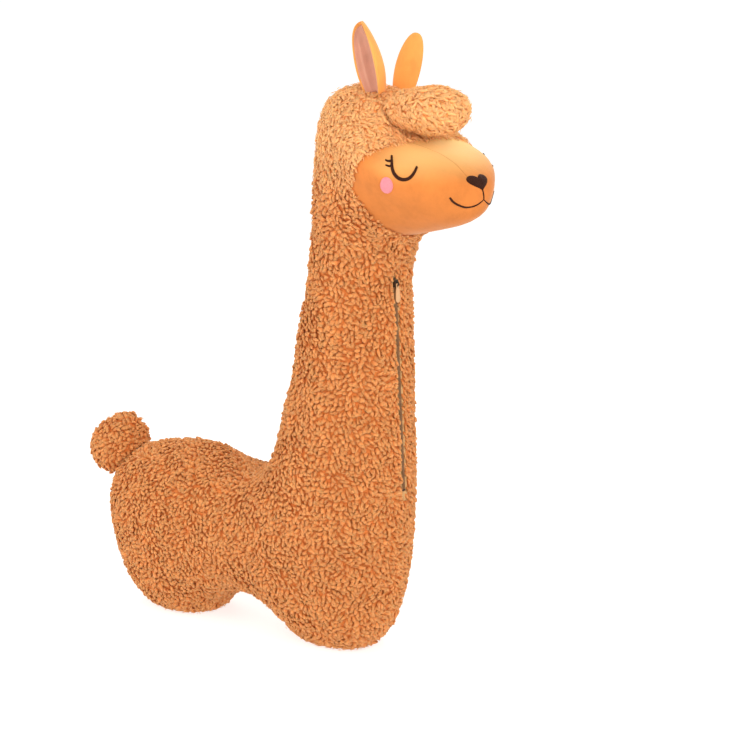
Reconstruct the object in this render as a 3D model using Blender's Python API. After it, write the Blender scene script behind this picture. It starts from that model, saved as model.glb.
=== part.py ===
"""Plush alpaca, 0.9 m tall: a stuffed lying-body, long-neck toy with a zip down its neck.

The body is two mirrored side panels of curly fleece, sewn along the middle and stuffed.
Stuffing swells a flat panel, so the half thickness comes from the swell of a membrane
held at the seam. Points below are in millimetres in the sewing plane: x forward, z up.
The head is turned a little to its right, which twists the neck about its own axis.
"""
import math

import bmesh
import bpy
import numpy as np
from mathutils import Matrix, Vector
from mathutils.bvhtree import BVHTree
from mathutils.geometry import delaunay_2d_cdt

for old in list(bpy.data.objects):
    bpy.data.objects.remove(old, do_unlink=True)

# ---------------------------------------------------------------- driving dimensions, mm
MM = 0.001
CENTRE_X = 17.29         # middle of the whole toy's length
CENTRE_Y = -11.83        # middle of the whole toy's width
PILE = 8.0               # fleece with its curls
GAP = 0.3                # between touching pieces
SEAM = 0.15              # each side panel's half of the gap at the middle seam
FACE_DEPTH = 5.0         # the smooth face lies this far below the tips of the curls
FACE_CLOTH = 3.0
FACE_MOVE = 1.2          # from the edge of the fleece hood
STITCH = 0.9             # raised embroidery
STITCH_GAP = 1.1         # clears the facets of the cloth under it

NECK_X = 140.0           # axis of the neck, which the head turns about
SEAM_R_LOW = 85.0        # distance of the front seam from that axis, bottom of the zip
SEAM_R_TOP = 79.0
ZIP_LOW = 225.0          # heights between which the front seam is a straight line
ZIP_TOP = 560.0
TURN_LOW = 0.7           # how far the seam has turned at those heights, degrees
TURN_TOP = 13.0
TURN_HEAD = 16.5
TURN_START = 180.0
TURN_END = 650.0

STEP = 31.0              # size of the facets on the body
STEP_FACE = 15.0
STEP_EDGE = 19.0
RINGS = (3.5, 14.0)      # rows of points beside the seam, where the panels curve most

TAIL_AT = (-285.0, 236.0)
TAIL_R = 46.0
FORELOCK_AT = (284.0, 777.0)
FORELOCK_R = (46.0, 54.0, 33.0)

SLOT_HALF = 6.3          # the zip lies in a slot between the two fleece panels
SLOT_LOW = 3.0           # along the seam line, from ZIP_LOW
SLOT_END = 6.0           # from the line's top
TAPE_HALF = 6.0
COIL_HALF = 1.9
SLIDER_LONG = 9.0
HINGE_DEPTH = -2.3       # pull's axis below the curls
PULL_LONG = 26.0


# ---------------------------------------------------------------- the turn of the neck
def seam_line(z):
    """Angle and distance of the straight front seam about the neck's axis."""
    a, b = math.radians(TURN_LOW), math.radians(TURN_TOP)
    t = (z - ZIP_LOW) / (ZIP_TOP - ZIP_LOW)
    x = SEAM_R_LOW * math.cos(a) * (1 - t) + SEAM_R_TOP * math.cos(b) * t
    y = SEAM_R_LOW * math.sin(a) * (1 - t) + SEAM_R_TOP * math.sin(b) * t
    return math.atan2(y, x), math.hypot(x, y)


def turn(z):
    """How far the toy is turned at height z, radians."""
    a, b, m = math.radians(TURN_LOW), math.radians(TURN_TOP), math.radians(TURN_HEAD)
    if z <= TURN_START:
        return 0.0
    if z >= TURN_END:
        return m
    if ZIP_LOW <= z <= ZIP_TOP:
        return seam_line(z)[0]

    def ease(u, p0, m0, p1, m1):
        return ((2 * u ** 3 - 3 * u ** 2 + 1) * p0 + (u ** 3 - 2 * u ** 2 + u) * m0
                + (3 * u ** 2 - 2 * u ** 3) * p1 + (u ** 3 - u ** 2) * m1)
    if z < ZIP_LOW:
        w = ZIP_LOW - TURN_START
        return ease((z - TURN_START) / w, 0, 0, a, (seam_line(ZIP_LOW + 1)[0] - a) * w * 0.5)
    w = TURN_END - ZIP_TOP
    return ease((z - ZIP_TOP) / w, b, (b - seam_line(ZIP_TOP - 1)[0]) * w, m, 0)


def turned(P):
    """Millimetres in the sewing frame to metres on the toy."""
    out = np.empty((len(P), 3))
    for i, (x, y, z) in enumerate(P):
        c, s = math.cos(turn(z)), math.sin(turn(z))
        out[i] = (NECK_X + (x - NECK_X) * c + y * s, -(x - NECK_X) * s + y * c, z)
    return out * MM


def front(z):
    return (NECK_X + seam_line(z)[1], z)


# side outline over the tips of the curls, clockwise from the throat
OUTLINE = [front(z) for z in (562, 500, 440, 380, 320, 275, 228)] + [
    (222, 150), (213, 82), (194, 30), (160, -10), (108, -16), (62, -10),            # chest and front foot
    (34, 22), (2, 46), (-42, 48), (-76, 24),                                        # under the belly
    (-108, -10), (-150, -17), (-196, -13), (-240, 24), (-268, 75), (-281, 130),     # back foot and rump
    (-281, 180), (-266, 222), (-230, 246), (-176, 259), (-120, 260), (-66, 246), (-24, 242),
    (14, 269), (35, 338), (51, 400), (63, 460), (75, 520), (85, 580), (96, 640),    # back of the neck
    (104, 700), (96, 752), (106, 788), (152, 806), (200, 804), (232, 795), (250, 774),  # crown
    (262, 748), (286, 736), (318, 727), (348, 715), (370, 697), (378, 674),         # forehead to muzzle
    (371, 652), (346, 635), (306, 622), (268, 612), (234, 600)]                     # jaw and throat

# edge of the fleece hood around the face, forehead to throat
HOOD_EDGE = [(272, 747), (264.5, 741), (261.5, 736), (259, 729.5), (253, 719.5), (241.5, 705.5), (234.6, 691),
             (231.4, 675), (237, 660.5), (243.5, 644.5), (248.5, 628.6), (251, 617.5), (253, 605)]


def swell(x, z):
    """How full the stuffing is: a little flat in the body, wide across the snout."""
    def bump(cx, cz, rx, rz, a):
        return a * math.exp(-((x - cx) / rx) ** 2 - ((z - cz) / rz) ** 2)
    return (1.03 + bump(180, 700, 90, 90, 0.12) + bump(325, 722, 85, 50, 0.95)
            + bump(310, 744, 62, 26, 0.95) + bump(150, 500, 110, 90, 0.06) + bump(-20, 110, 330, 130, -0.16))


# ---------------------------------------------------------------- plane geometry
def smooth(points, closed=True, per=16):
    """Centripetal Catmull-Rom curve through the points."""
    P = np.array(points, float)
    if not closed:
        P = np.vstack([2 * P[0] - P[1], P, 2 * P[-1] - P[-2]])
    n, out = len(P), []
    for i in range(n) if closed else range(1, n - 2):
        p0, p1, p2, p3 = P[i - 1], P[i], P[(i + 1) % n], P[(i + 2) % n]
        a, b, c = (max(np.linalg.norm(v), 1e-9) ** 0.5 for v in (p1 - p0, p2 - p1, p3 - p2))
        m1 = p2 - p1 + b * ((p1 - p0) / a - (p2 - p0) / (a + b))
        m2 = p2 - p1 + b * ((p3 - p2) / c - (p3 - p1) / (b + c))
        for k in range(per):
            u = k / per
            out.append((2 * (p1 - p2) + m1 + m2) * u ** 3 + (3 * (p2 - p1) - 2 * m1 - m2) * u ** 2 + m1 * u + p1)
    if not closed:
        out.append(P[-2])
    return np.array(out)


def spaced(P, step, closed=True):
    Q = np.vstack([P, P[:1]]) if closed else P
    d = np.r_[0, np.cumsum(np.linalg.norm(np.diff(Q, axis=0), axis=1))]
    t = np.linspace(0, d[-1], max(int(round(d[-1] / step)), 3) + 1)
    R = np.c_[np.interp(t, d, Q[:, 0]), np.interp(t, d, Q[:, 1])]
    return R[:-1] if closed else R


def within(poly, pts):
    x, y = pts[:, 0], pts[:, 1]
    res = np.zeros(len(pts), bool)
    for (px, py), (qx, qy) in zip(poly, np.roll(poly, -1, axis=0)):
        if py != qy:
            res ^= ((py > y) != (qy > y)) & (x < px + (y - py) * (qx - px) / (qy - py))
    return res


def clear_of(line, pts, closed=True):
    """Distance of each point to a polyline."""
    A = line if closed else line[:-1]
    B = np.roll(line, -1, axis=0) if closed else line[1:]
    D = B - A
    t = np.clip(((pts[:, None] - A[None]) * D[None]).sum(2) / np.maximum((D ** 2).sum(1), 1e-18), 0, 1)
    return np.sqrt(((pts[:, None] - A[None] - t[..., None] * D[None]) ** 2).sum(2)).min(1)


def side_normals(P):
    """Outward normals of a clockwise outline."""
    T = np.roll(P, -1, axis=0) - np.roll(P, 1, axis=0)
    T /= np.linalg.norm(T, axis=1)[:, None]
    return np.c_[-T[:, 1], T[:, 0]]


def lattice(lo, hi, step):
    rows, z, k = [], lo[1], 0
    while z < hi[1]:
        x = np.arange(lo[0] + (step / 2 if k % 2 else 0), hi[0], step)
        rows.append(np.c_[x, np.full(len(x), z)])
        z += step * math.sqrt(3) / 2
        k += 1
    return np.vstack(rows)


def mesh_area(points, edges, keep):
    """Triangles, all anticlockwise, whose centres pass keep."""
    out = delaunay_2d_cdt([Vector(p) for p in points], edges, [], 0, 1e-7)
    W = np.array([(v.x, v.y) for v in out[0]])
    T = np.array([f for f in out[2] if len(f) == 3])
    a, b, c = W[T[:, 0]], W[T[:, 1]], W[T[:, 2]]
    area = (b[:, 0] - a[:, 0]) * (c[:, 1] - a[:, 1]) - (c[:, 0] - a[:, 0]) * (b[:, 1] - a[:, 1])
    T[area < 0] = T[area < 0][:, ::-1]
    return W, T[keep((a + b + c) / 3) & (np.abs(area) > 1e-6)]


# ---------------------------------------------------------------- the stuffed body
def stuffed_panel():
    """One side panel swollen by its stuffing: plane points, triangles, half thickness, normals."""
    O = spaced(smooth(OUTLINE), STEP_EDGE)
    edge = spaced(smooth(HOOD_EDGE, False), STEP_FACE, False)
    i0 = int(np.argmin(((O - edge[0]) ** 2).sum(1)))
    i1 = int(np.argmin(((O - edge[-1]) ** 2).sum(1)))
    edge[0], edge[-1] = O[i0], O[i1]
    inner = edge[1:-1]
    n = len(O)
    ids = [i0] + list(range(n, n + len(inner))) + [i1]
    edges = [(i, (i + 1) % n) for i in range(n)] + list(zip(ids[:-1], ids[1:]))
    face_area = np.vstack([edge, [(430, 570), (430, 800)]])
    pts = [O, inner]
    N2 = side_normals(O)
    for inset in RINGS:
        R = O - N2 * inset
        R = R[within(O, R)]
        R = R[clear_of(O, R) > inset * 0.93]
        pts.append(R[clear_of(edge, R, False) > 0.4 * STEP_FACE])
    for step, face in ((STEP, False), (STEP_FACE, True)):
        G = lattice(O.min(0), O.max(0), step)
        G = G[within(O, G)]
        G = G[within(face_area, G) == face]
        G = G[clear_of(O, G) > RINGS[-1] + 0.5 * step]
        pts.append(G[clear_of(edge, G, False) > 0.55 * step])
    W, T = mesh_area(np.vstack(pts), edges, lambda c: within(O, c))

    # membrane held at the seam: stiffness matrix over the triangles, solved by conjugate gradients
    a, b, c = W[T[:, 0]], W[T[:, 1]], W[T[:, 2]]
    A2 = (b[:, 0] - a[:, 0]) * (c[:, 1] - a[:, 1]) - (c[:, 0] - a[:, 0]) * (b[:, 1] - a[:, 1])
    g = np.empty((len(T), 3, 2))
    for k, (p, q) in enumerate(((b, c), (c, a), (a, b))):
        g[:, k, 0] = (p[:, 1] - q[:, 1]) / A2
        g[:, k, 1] = (q[:, 0] - p[:, 0]) / A2
    K = np.einsum('tik,tjk->tij', g, g) * (A2 / 2)[:, None, None]
    S = np.zeros((len(W), len(W)))
    load = np.zeros(len(W))
    for i in range(3):
        np.add.at(load, T[:, i], A2 / 6)
        for j in range(3):
            np.add.at(S, (T[:, i], T[:, j]), K[:, i, j])
    free = np.arange(n, len(W))
    rise = np.zeros(len(W))
    rise[free] = np.linalg.solve(S[np.ix_(free, free)], load[free])
    full = np.array([swell(x, z) for x, z in W])
    q = full ** 2 * rise
    half = np.sqrt(2 * np.maximum(q, 0))
    G = np.einsum('tk,tkd->td', q[T], g)
    grad, w = np.zeros((len(W), 2)), np.zeros(len(W))
    for k in range(3):
        np.add.at(w, T[:, k], A2)
        np.add.at(grad, T[:, k], A2[:, None] * G)
    grad /= w[:, None]
    N = np.c_[-grad[:, 0], -half, -grad[:, 1]]
    N[:n] = np.c_[N2[:, 0], np.zeros(n), N2[:, 1]]
    N /= np.linalg.norm(N, axis=1)[:, None]
    cen = (a + b + c) / 3
    toward = np.zeros((len(W), 2))                   # into the face, at the hood's edge
    for k, i in enumerate(ids):
        p, q2 = edge[max(k - 1, 0)], edge[min(k + 1, len(edge) - 1)]
        d = (q2 - p) / np.linalg.norm(q2 - p)
        toward[i] = (-d[1], d[0])
        if k in (0, len(ids) - 1):
            t = O[(i + 1) % n] - O[i - 1]
            t /= np.linalg.norm(t)
            toward[i] = t * np.sign(t @ toward[i])
    return W, T, half, N, n, within(face_area, cen), toward


W, T, HALF, N, NO, IS_FACE, TOWARD = stuffed_panel()


def skin(off, side, move=0.0, seam=SEAM):
    """The swollen panel moved off along its normals; side -1 is the toy's right, +1 its left."""
    P = np.c_[W[:, 0] + TOWARD[:, 0] * move, -HALF, W[:, 1] + TOWARD[:, 1] * move] + N * off
    P[:NO, 1] = -seam
    P[:, 2] = np.maximum(P[:, 2], -off)              # the feet are flat on the floor
    P[:, 1] *= -side
    return P


def shell(tris, outer, inner, side):
    """Closed body between two layers over the same triangles."""
    n = len(outer)
    sides = [(int(t[i]), int(t[(i + 1) % 3])) for t in tris for i in range(3)]
    known = set(sides)
    faces = [tuple(t) for t in tris] + [tuple(t[::-1] + n) for t in tris]
    for i, j in sides:
        if (j, i) not in known:
            faces += [(j, i, i + n), (j, i + n, j + n)]
    if side > 0:
        faces = [f[::-1] for f in faces]
    return np.vstack([outer, inner]), faces


# ---------------------------------------------------------------- objects
def paint(name, colour, rough, metal=0.0):
    m = bpy.data.materials.new(name)
    m.use_nodes = True
    b = m.node_tree.nodes["Principled BSDF"]
    b.inputs["Base Color"].default_value = (*colour, 1)
    b.inputs["Roughness"].default_value = rough
    b.inputs["Metallic"].default_value = metal
    return m


FLEECE = (0.60, 0.27, 0.10)
VELBOA = (0.78, 0.33, 0.09)
LINING = (0.55, 0.25, 0.18)
THREAD = (0.05, 0.015, 0.008)
PINK = (0.85, 0.27, 0.31)
FIBRE = (0.85, 0.84, 0.80)
TAPE = (0.42, 0.28, 0.13)
COIL = (0.20, 0.12, 0.06)
METAL = (0.10, 0.08, 0.06)
PULL = (0.62, 0.36, 0.17)

toy = bpy.data.objects.new("alpaca", None)
bpy.context.collection.objects.link(toy)
toy.location = (-CENTRE_X * MM, -CENTRE_Y * MM, 0)


def add(name, verts, faces, colour, rough, metal=0.0, parent=toy, sharp=50):
    me = bpy.data.meshes.new(name)
    me.from_pydata([tuple(v) for v in verts], [], [tuple(int(i) for i in f) for f in faces])
    used = set(i for f in faces for i in f)
    if len(used) < len(verts):
        bm = bmesh.new()
        bm.from_mesh(me)
        bmesh.ops.delete(bm, geom=[v for v in bm.verts if not v.link_faces], context='VERTS')
        bm.to_mesh(me)
        bm.free()
    o = bpy.data.objects.new(name, me)
    bpy.context.collection.objects.link(o)
    o.parent = parent
    me.materials.append(paint(name, colour, rough, metal))
    me.shade_smooth()
    me.set_sharp_from_angle(angle=math.radians(sharp))
    return o


def guide(name, verts, faces, parent=toy):
    o = add(name, verts, faces, (0.5, 0.5, 0.5), 0.5, parent=parent)
    o.hide_render = True
    o.display_type = 'WIRE'
    return o


def cut(o, cutter, how='DIFFERENCE'):
    m = o.modifiers.new(how.lower(), 'BOOLEAN')
    m.operation = how
    m.object = cutter
    m.solver = 'EXACT'
    return o


def block(x0, x1, y0, y1, z0, z1):
    v = [(x, y, z) for z in (z0, z1) for y in (y0, y1) for x in (x0, x1)]
    f = [(0, 2, 3, 1), (4, 5, 7, 6), (0, 1, 5, 4), (2, 6, 7, 3), (0, 4, 6, 2), (1, 3, 7, 5)]
    return np.array(v) * MM, f


def prism(outline, low, high, axis):
    """Outline extruded along an axis: 'x' takes (y, z) points, 'y' (z, x), 'z' (x, y)."""
    n = len(outline)
    def put(p, t):
        return {'x': (t, p[0], p[1]), 'y': (p[1], t, p[0]), 'z': (p[0], p[1], t)}[axis]
    v = [put(p, low) for p in outline] + [put(p, high) for p in outline]
    f = [tuple(range(n - 1, -1, -1)), tuple(range(n, 2 * n))]
    f += [(i, (i + 1) % n, (i + 1) % n + n, i + n) for i in range(n)]
    return np.array(v) * MM, f


# the envelope that head, rump and neck fill, with the gap around it: cuts what is sewn on it
n = len(W)
ev, ef = [], [tuple(t) for t in T]
right, left = skin(GAP, -1, seam=0), skin(GAP, 1, seam=0)
other = {i: (i if i < NO else i + n) for i in range(n)}
ef += [tuple(other[int(i)] for i in t[::-1]) for t in T]
envelope = guide("guide_body", turned(np.vstack([right, left])), ef)

# fleece covers and face panels, right and left
hood = {}
for side, word in ((-1, "right"), (1, "left")):
    v, f = shell(T[~IS_FACE], skin(0, side), skin(-PILE, side), side)
    hood[word] = add("fleece_cover_" + word, turned(v), f, FLEECE, 0.95)
    inset = -FACE_DEPTH - FACE_CLOTH
    v, f = shell(T[IS_FACE], skin(-FACE_DEPTH, side, FACE_MOVE), skin(inset, side, FACE_MOVE), side)
    add("face_panel_" + word, turned(v), f, VELBOA, 0.85)

# stuffing
right, left = skin(-PILE - 0.9, -1, seam=0), skin(-PILE - 0.9, 1, seam=0)
add("body_filling", turned(np.vstack([right, left])), ef, FIBRE, 0.95)


def ball(centre, radii, subdiv=3):
    """Round pad: icosphere scaled to its radii."""
    bm = bmesh.new()
    bmesh.ops.create_icosphere(bm, subdivisions=subdiv, radius=1.0)
    v = np.array([tuple(p.co) for p in bm.verts]) * np.array(radii) + np.array([centre[0], 0.0, centre[1]])
    f = [tuple(p.index for p in q.verts) for q in bm.faces]
    bm.free()
    return turned(v), f


def pad_on_body(word, centre, radii):
    """Fleece pad with its stuffing, open to the body where it is sewn on."""
    r = np.array(radii)
    inner = guide("guide_" + word, *ball(centre, r - PILE))
    cover = add(word + "_cover", *ball(centre, r), FLEECE, 0.95)
    cut(cut(cover, inner), envelope)
    filling = add(word + "_filling", *ball(centre, r - PILE - GAP), FIBRE, 0.95)
    cut(filling, envelope)


pad_on_body("tail", TAIL_AT, (TAIL_R,) * 3)
pad_on_body("forelock", FORELOCK_AT, FORELOCK_R)


# ---------------------------------------------------------------- ears
def leaf(t):
    """Half width along an ear: a narrower base and a round tip."""
    return math.sqrt(max(1 - ((t - 0.5) / 0.5) ** 2, 0.0)) if t > 0.5 else 0.64 + 0.36 * math.sin(math.pi * t)


def ear(word, base, tip, opening, wide, roll_low, roll_tip, bow):
    """Leaf rolled lengthwise: outer layer behind, lining in its hollow."""
    base, tip = np.array(base, float), np.array(tip, float)
    up = tip - base
    long = np.linalg.norm(up)
    up /= long
    out = np.array(opening, float)
    out -= up * (out @ up)
    out /= np.linalg.norm(out)
    across = np.cross(up, out)
    bow = np.array(bow)

    def layer(size, lo, hi):
        rows, cols = 9, 8
        def sheet(off):
            P = []
            for j in range(rows + 1):
                t = j / rows
                half = wide * size * leaf(t)
                roll = math.radians(roll_low + (roll_tip - roll_low) * t)
                r = half / math.sin(roll)
                along = long * (t if size == 1 else 0.02 + t * 0.93)
                for i in range(cols + 1):
                    a = roll * (2 * i / cols - 1)
                    rr = max(r - off, 0.05)
                    P.append(base + up * along + across * (rr * math.sin(a)) + bow * (4 * t * (1 - t))
                             + out * (r - rr * math.cos(a)))
            return np.array(P)
        w = cols + 1
        tris = []
        for j in range(rows):
            for i in range(cols):
                a, b, c, d = j * w + i, j * w + i + 1, (j + 1) * w + i + 1, (j + 1) * w + i
                tris += [(a, b, c), (a, c, d)]
        tris = np.array(tris)
        return shell(tris, sheet(lo), sheet(hi), -1)

    for part, size, lo, hi, colour in (("outer", 1, -1.65, -0.15, VELBOA), ("lining", 0.88, 0.15, 1.65, LINING)):
        v, f = layer(size, lo, hi)
        o = add("ear_%s_%s" % (word, part), turned(v), f, colour, 0.85, sharp=60)
        bm = bmesh.new()
        bm.from_mesh(o.data)
        bmesh.ops.recalc_face_normals(bm, faces=bm.faces)
        bm.to_mesh(o.data)
        bm.free()
        cut(o, envelope)


ear("right", (212, -18, 797), (190, -36, 886), (-0.35, -0.94, 0.0), 30.5, 80.0, 58.0, (5.2, 5.8, 0.0))
ear("left", (199, 26, 780), (219, 38, 870), (-0.50, 0.86, 0.0), 15.8, 62.0, 36.0, (-2.0, -1.0, 0.0))

# ---------------------------------------------------------------- embroidery on the face
face_bvh = {}
for side in (-1, 1):
    P = skin(-FACE_DEPTH, side, FACE_MOVE, seam=0)
    tris = [tuple(int(i) for i in (t if side < 0 else t[::-1])) for t in T[IS_FACE]]
    face_bvh[side] = (P, tris, BVHTree.FromPolygons([Vector(p) for p in P], tris))


def on_face(origin, direction, side):
    """Point and smooth normal where a line meets one half of the face."""
    P, tris, tree = face_bvh[side]
    hit = tree.ray_cast(Vector(origin), Vector(direction))
    if hit[0] is None:
        hit = tree.find_nearest(Vector(origin) + Vector(direction) * 120)
    t = tris[hit[2]]
    a, b, c = (P[i] for i in t)
    p = np.array(hit[0])
    v0, v1, v2 = b - a, c - a, p - a
    d00, d01, d11, d20, d21 = v0 @ v0, v0 @ v1, v1 @ v1, v2 @ v0, v2 @ v1
    det = d00 * d11 - d01 * d01
    u, w = (d11 * d20 - d01 * d21) / det, (d00 * d21 - d01 * d20) / det
    flip = np.array([1, -side, 1])
    nn = (N[t[0]] * (1 - u - w) + N[t[1]] * u + N[t[2]] * w) * flip
    return p, nn / np.linalg.norm(nn)


def stitch(name, outline, place, colour, fill_step=None, rough=0.55, off=STITCH_GAP):
    """Raised satin stitch: a plane outline laid on the face and given its thickness."""
    L = np.array(outline, float)
    if 0.5 * np.sum(L[:, 0] * np.roll(L[:, 1], -1) - np.roll(L[:, 0], -1) * L[:, 1]) < 0:
        L = L[::-1]
    pts = [L]
    if fill_step:
        G = lattice(L.min(0), L.max(0), fill_step)
        G = G[within(L, G)]
        pts.append(G[clear_of(L, G) > 0.6 * fill_step])
    E = [(i, (i + 1) % len(L)) for i in range(len(L))]
    Q, tris = mesh_area(np.vstack(pts), E, lambda c: within(L, c))
    low, high = [], []
    for q in Q:
        p, nn = place(*q)
        low.append(p + nn * off)
        high.append(p + nn * (off + STITCH))
    v, f = shell(tris, np.array(high), np.array(low), -1)
    o = add(name, turned(v), f, colour, rough)
    bm = bmesh.new()
    bm.from_mesh(o.data)
    bmesh.ops.recalc_face_normals(bm, faces=bm.faces)
    bm.to_mesh(o.data)
    bm.free()


def oblique(side):
    """Places a drawing on the cheek along the line that looks straight at the eye."""
    c = (0.76, side * 0.65)
    return lambda u, z: on_face((u * 0.65 + c[0] * 500, -side * u * 0.76 + c[1] * 500, z), (-c[0], -c[1], 0), side)


def from_front(y, z):
    return on_face((500.0, y, z), (-1, 0, 0), -1 if y < 0 else 1)


def ribbon(points, width, step=3.0, taper=0.35, spurs=()):
    """Outline of a line of stitches; spurs are (place 0..1, tip x, tip y) on its left edge."""
    P = spaced(smooth(points, False), step, False)
    D = np.gradient(P, axis=0)
    D /= np.linalg.norm(D, axis=1)[:, None]
    S = np.c_[-D[:, 1], D[:, 0]]
    t = np.linspace(0, 1, len(P))
    h = width / 2 * (taper + (1 - taper) * np.sin(math.pi * t) ** 0.7)
    one, two = [], []
    done = set()
    for i in range(len(P)):
        one.append(P[i] + S[i] * h[i])
        for place, tx, ty in spurs:
            if place not in done and i + 1 < len(P) and t[i] <= place < t[i + 1]:
                done.add(place)
                a, b = P[i] + S[i] * h[i], P[i + 1] + S[i + 1] * h[i + 1]
                c = (a + b) / 2
                e = (b - a) / np.linalg.norm(b - a)
                tip = np.array([tx, ty])
                one += [c - e * 0.75, tip - e * 0.4, tip + e * 0.4, c + e * 0.75]
        two.append(P[i] - S[i] * h[i])
    return np.array(one + two[::-1])


EYE = [(128.9, 725.2), (128.2, 720.4), (127.8, 715.6), (128.3, 710.8), (130.6, 705.9), (134.9, 701.7), (140.2, 699.8),
       (145.6, 700.4), (150.4, 703.2), (154.6, 708.0), (158.6, 714.0)]
SHIFT = {-1: (0.0, 0.0), 1: (-13.0, -11.0)}            # the left eye and cheek sit a little further back and lower
for side, word in ((-1, "right"), (1, "left")):
    du, dz = SHIFT[side]
    lashes = ((0.11, 120.2, 721.4), (0.20, 120.0, 716.2))
    lid = ribbon([(u + du, z + dz) for u, z in EYE[::-1]], 3.6, spurs=[(1 - a, u + du, z + dz) for a, u, z in lashes])
    stitch("eye_" + word, lid, oblique(side), THREAD, off=1.4)
    ring = [(121.2 + du + 7.6 * math.cos(a) - 1.25 * math.sin(a), 691.0 + dz + 0.7 * math.cos(a) + 11.2 * math.sin(a))
            for a in (2 * math.pi * k / 20 for k in range(20))]
    stitch("cheek_" + word, ring, oblique(side), PINK, 5.0)

heart = []
for k in range(28):                                  # heart: two lobes and a low point
    a = 2 * math.pi * k / 28
    hx = 16 * math.sin(a) ** 3
    hz = 13 * math.cos(a) - 5 * math.cos(2 * a) - 2 * math.cos(3 * a) - math.cos(4 * a)
    heart.append((hx * 19 / 16, 695.0 + hz * 9.5 / 14.5))
stitch("nose", heart, from_front, THREAD, 5.0)

SMILE = [(-41, 677.5), (-37, 672.2), (-30.7, 667.6), (-22.2, 664.4), (-13.4, 665.5), (-6, 668.8), (0, 672.6)]
smile = spaced(smooth(SMILE, False), 3.0, False)
smile = np.vstack([smile, (smile[:-1] * np.array([-1, 1]))[::-1]])
D = np.gradient(smile, axis=0)
D /= np.linalg.norm(D, axis=1)[:, None]
S = np.c_[-D[:, 1], D[:, 0]] * 1.0
top = [p + s for p, s in zip(smile, S) if abs((p + s)[0]) > 1.6]
left_half = [p for p in top if p[0] < 0]
right_half = [p for p in top if p[0] > 0]
rise = [674.8 + 1.35 * k for k in range(7)]            # short line from the mouth up to the nose
mouth = left_half + [(-1.0, z) for z in rise] + [(1.0, z) for z in rise[::-1]] + right_half
mouth += [p - s for p, s in zip(smile, S)][::-1]
stitch("mouth", mouth, from_front, THREAD)

# ---------------------------------------------------------------- zip along the front seam
a, b = math.radians(TURN_LOW), math.radians(TURN_TOP)
LOW = np.array([NECK_X + SEAM_R_LOW * math.cos(a), -SEAM_R_LOW * math.sin(a), ZIP_LOW])
TOP = np.array([NECK_X + SEAM_R_TOP * math.cos(b), -SEAM_R_TOP * math.sin(b), ZIP_TOP])
LINE = float(np.linalg.norm(TOP - LOW))
ALONG = (TOP - LOW) / LINE
mid_turn = (a + b) / 2
OUT = np.array([math.cos(mid_turn), -math.sin(mid_turn), 0.0])
OUT -= ALONG * (OUT @ ALONG)
OUT /= np.linalg.norm(OUT)
ACROSS = np.cross(ALONG, OUT)

zip_line = bpy.data.objects.new("zip_line", None)    # x out of the neck, y to its left, z up the seam
bpy.context.collection.objects.link(zip_line)
zip_line.parent = toy
zip_line.matrix_local = Matrix.Translation(Vector(LOW * MM)) @ Matrix((OUT, ACROSS, ALONG)).transposed().to_4x4()

SLOT_TOP = LINE - SLOT_END
slot = guide("guide_slot", *block(-9.5, 30, -SLOT_HALF, SLOT_HALF, SLOT_LOW, SLOT_TOP), parent=zip_line)
for o in hood.values():
    cut(o, slot)

COIL_LOW, COIL_TOP = 23.3, SLOT_TOP - 7.0
for side, word in ((-1, "right"), (1, "left")):
    y = sorted((side * SEAM, side * TAPE_HALF))
    add("zip_tape_" + word, *block(-8.0, -7.2, *y, SLOT_LOW + GAP, SLOT_TOP - GAP), TAPE, 0.8, parent=zip_line)
    y = sorted((side * SEAM, side * COIL_HALF))
    add("zip_coil_" + word, *block(-6.9, -4.9, *y, COIL_LOW, COIL_TOP), COIL, 0.5, parent=zip_line)
add("zip_top_stop", *block(-6.9, -5.1, -2.6, 2.6, COIL_TOP + GAP, COIL_TOP + 3.0), METAL, 0.4, 0.8, parent=zip_line)
add("zip_bottom_stop", *block(-6.9, -5.1, -2.6, 2.6, COIL_LOW - 3.0, COIL_LOW - GAP), METAL, 0.4, 0.8, parent=zip_line)

# slider: a saddle over the coil with a bridge for the pull; its origin is on the pull's axis
SLIDER_AT = COIL_TOP - 5.0
h = SLIDER_LONG / 2
saddle = [(-4.6, -4.2), (-1.2, -4.2), (-1.2, 4.2), (-4.6, 4.2), (-4.6, 2.2), (-2.2, 2.2), (-2.2, -2.2), (-4.6, -2.2)]
slider = add("zip_slider", *prism(saddle, -h, h, 'z'), METAL, 0.35, 0.9, parent=zip_line, sharp=30)
slider.location = (HINGE_DEPTH * MM, 0, SLIDER_AT * MM)
bridge = [(-3.0, -1.5), (-3.0, 1.6), (-2.4, 2.2), (2.4, 2.2), (3.0, 1.6), (3.0, -1.5), (1.7, -1.5), (1.7, 1.2),
          (-1.7, 1.2), (-1.7, -1.5)]
arch = guide("guide_bridge", *prism(bridge[::-1], -0.8, 0.8, 'y'), parent=zip_line)
arch.location = slider.location
for o in (slider, arch):
    bm = bmesh.new()
    bm.from_mesh(o.data)
    bmesh.ops.recalc_face_normals(bm, faces=bm.faces)
    bm.to_mesh(o.data)
    bm.free()
cut(slider, arch, 'UNION')

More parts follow.
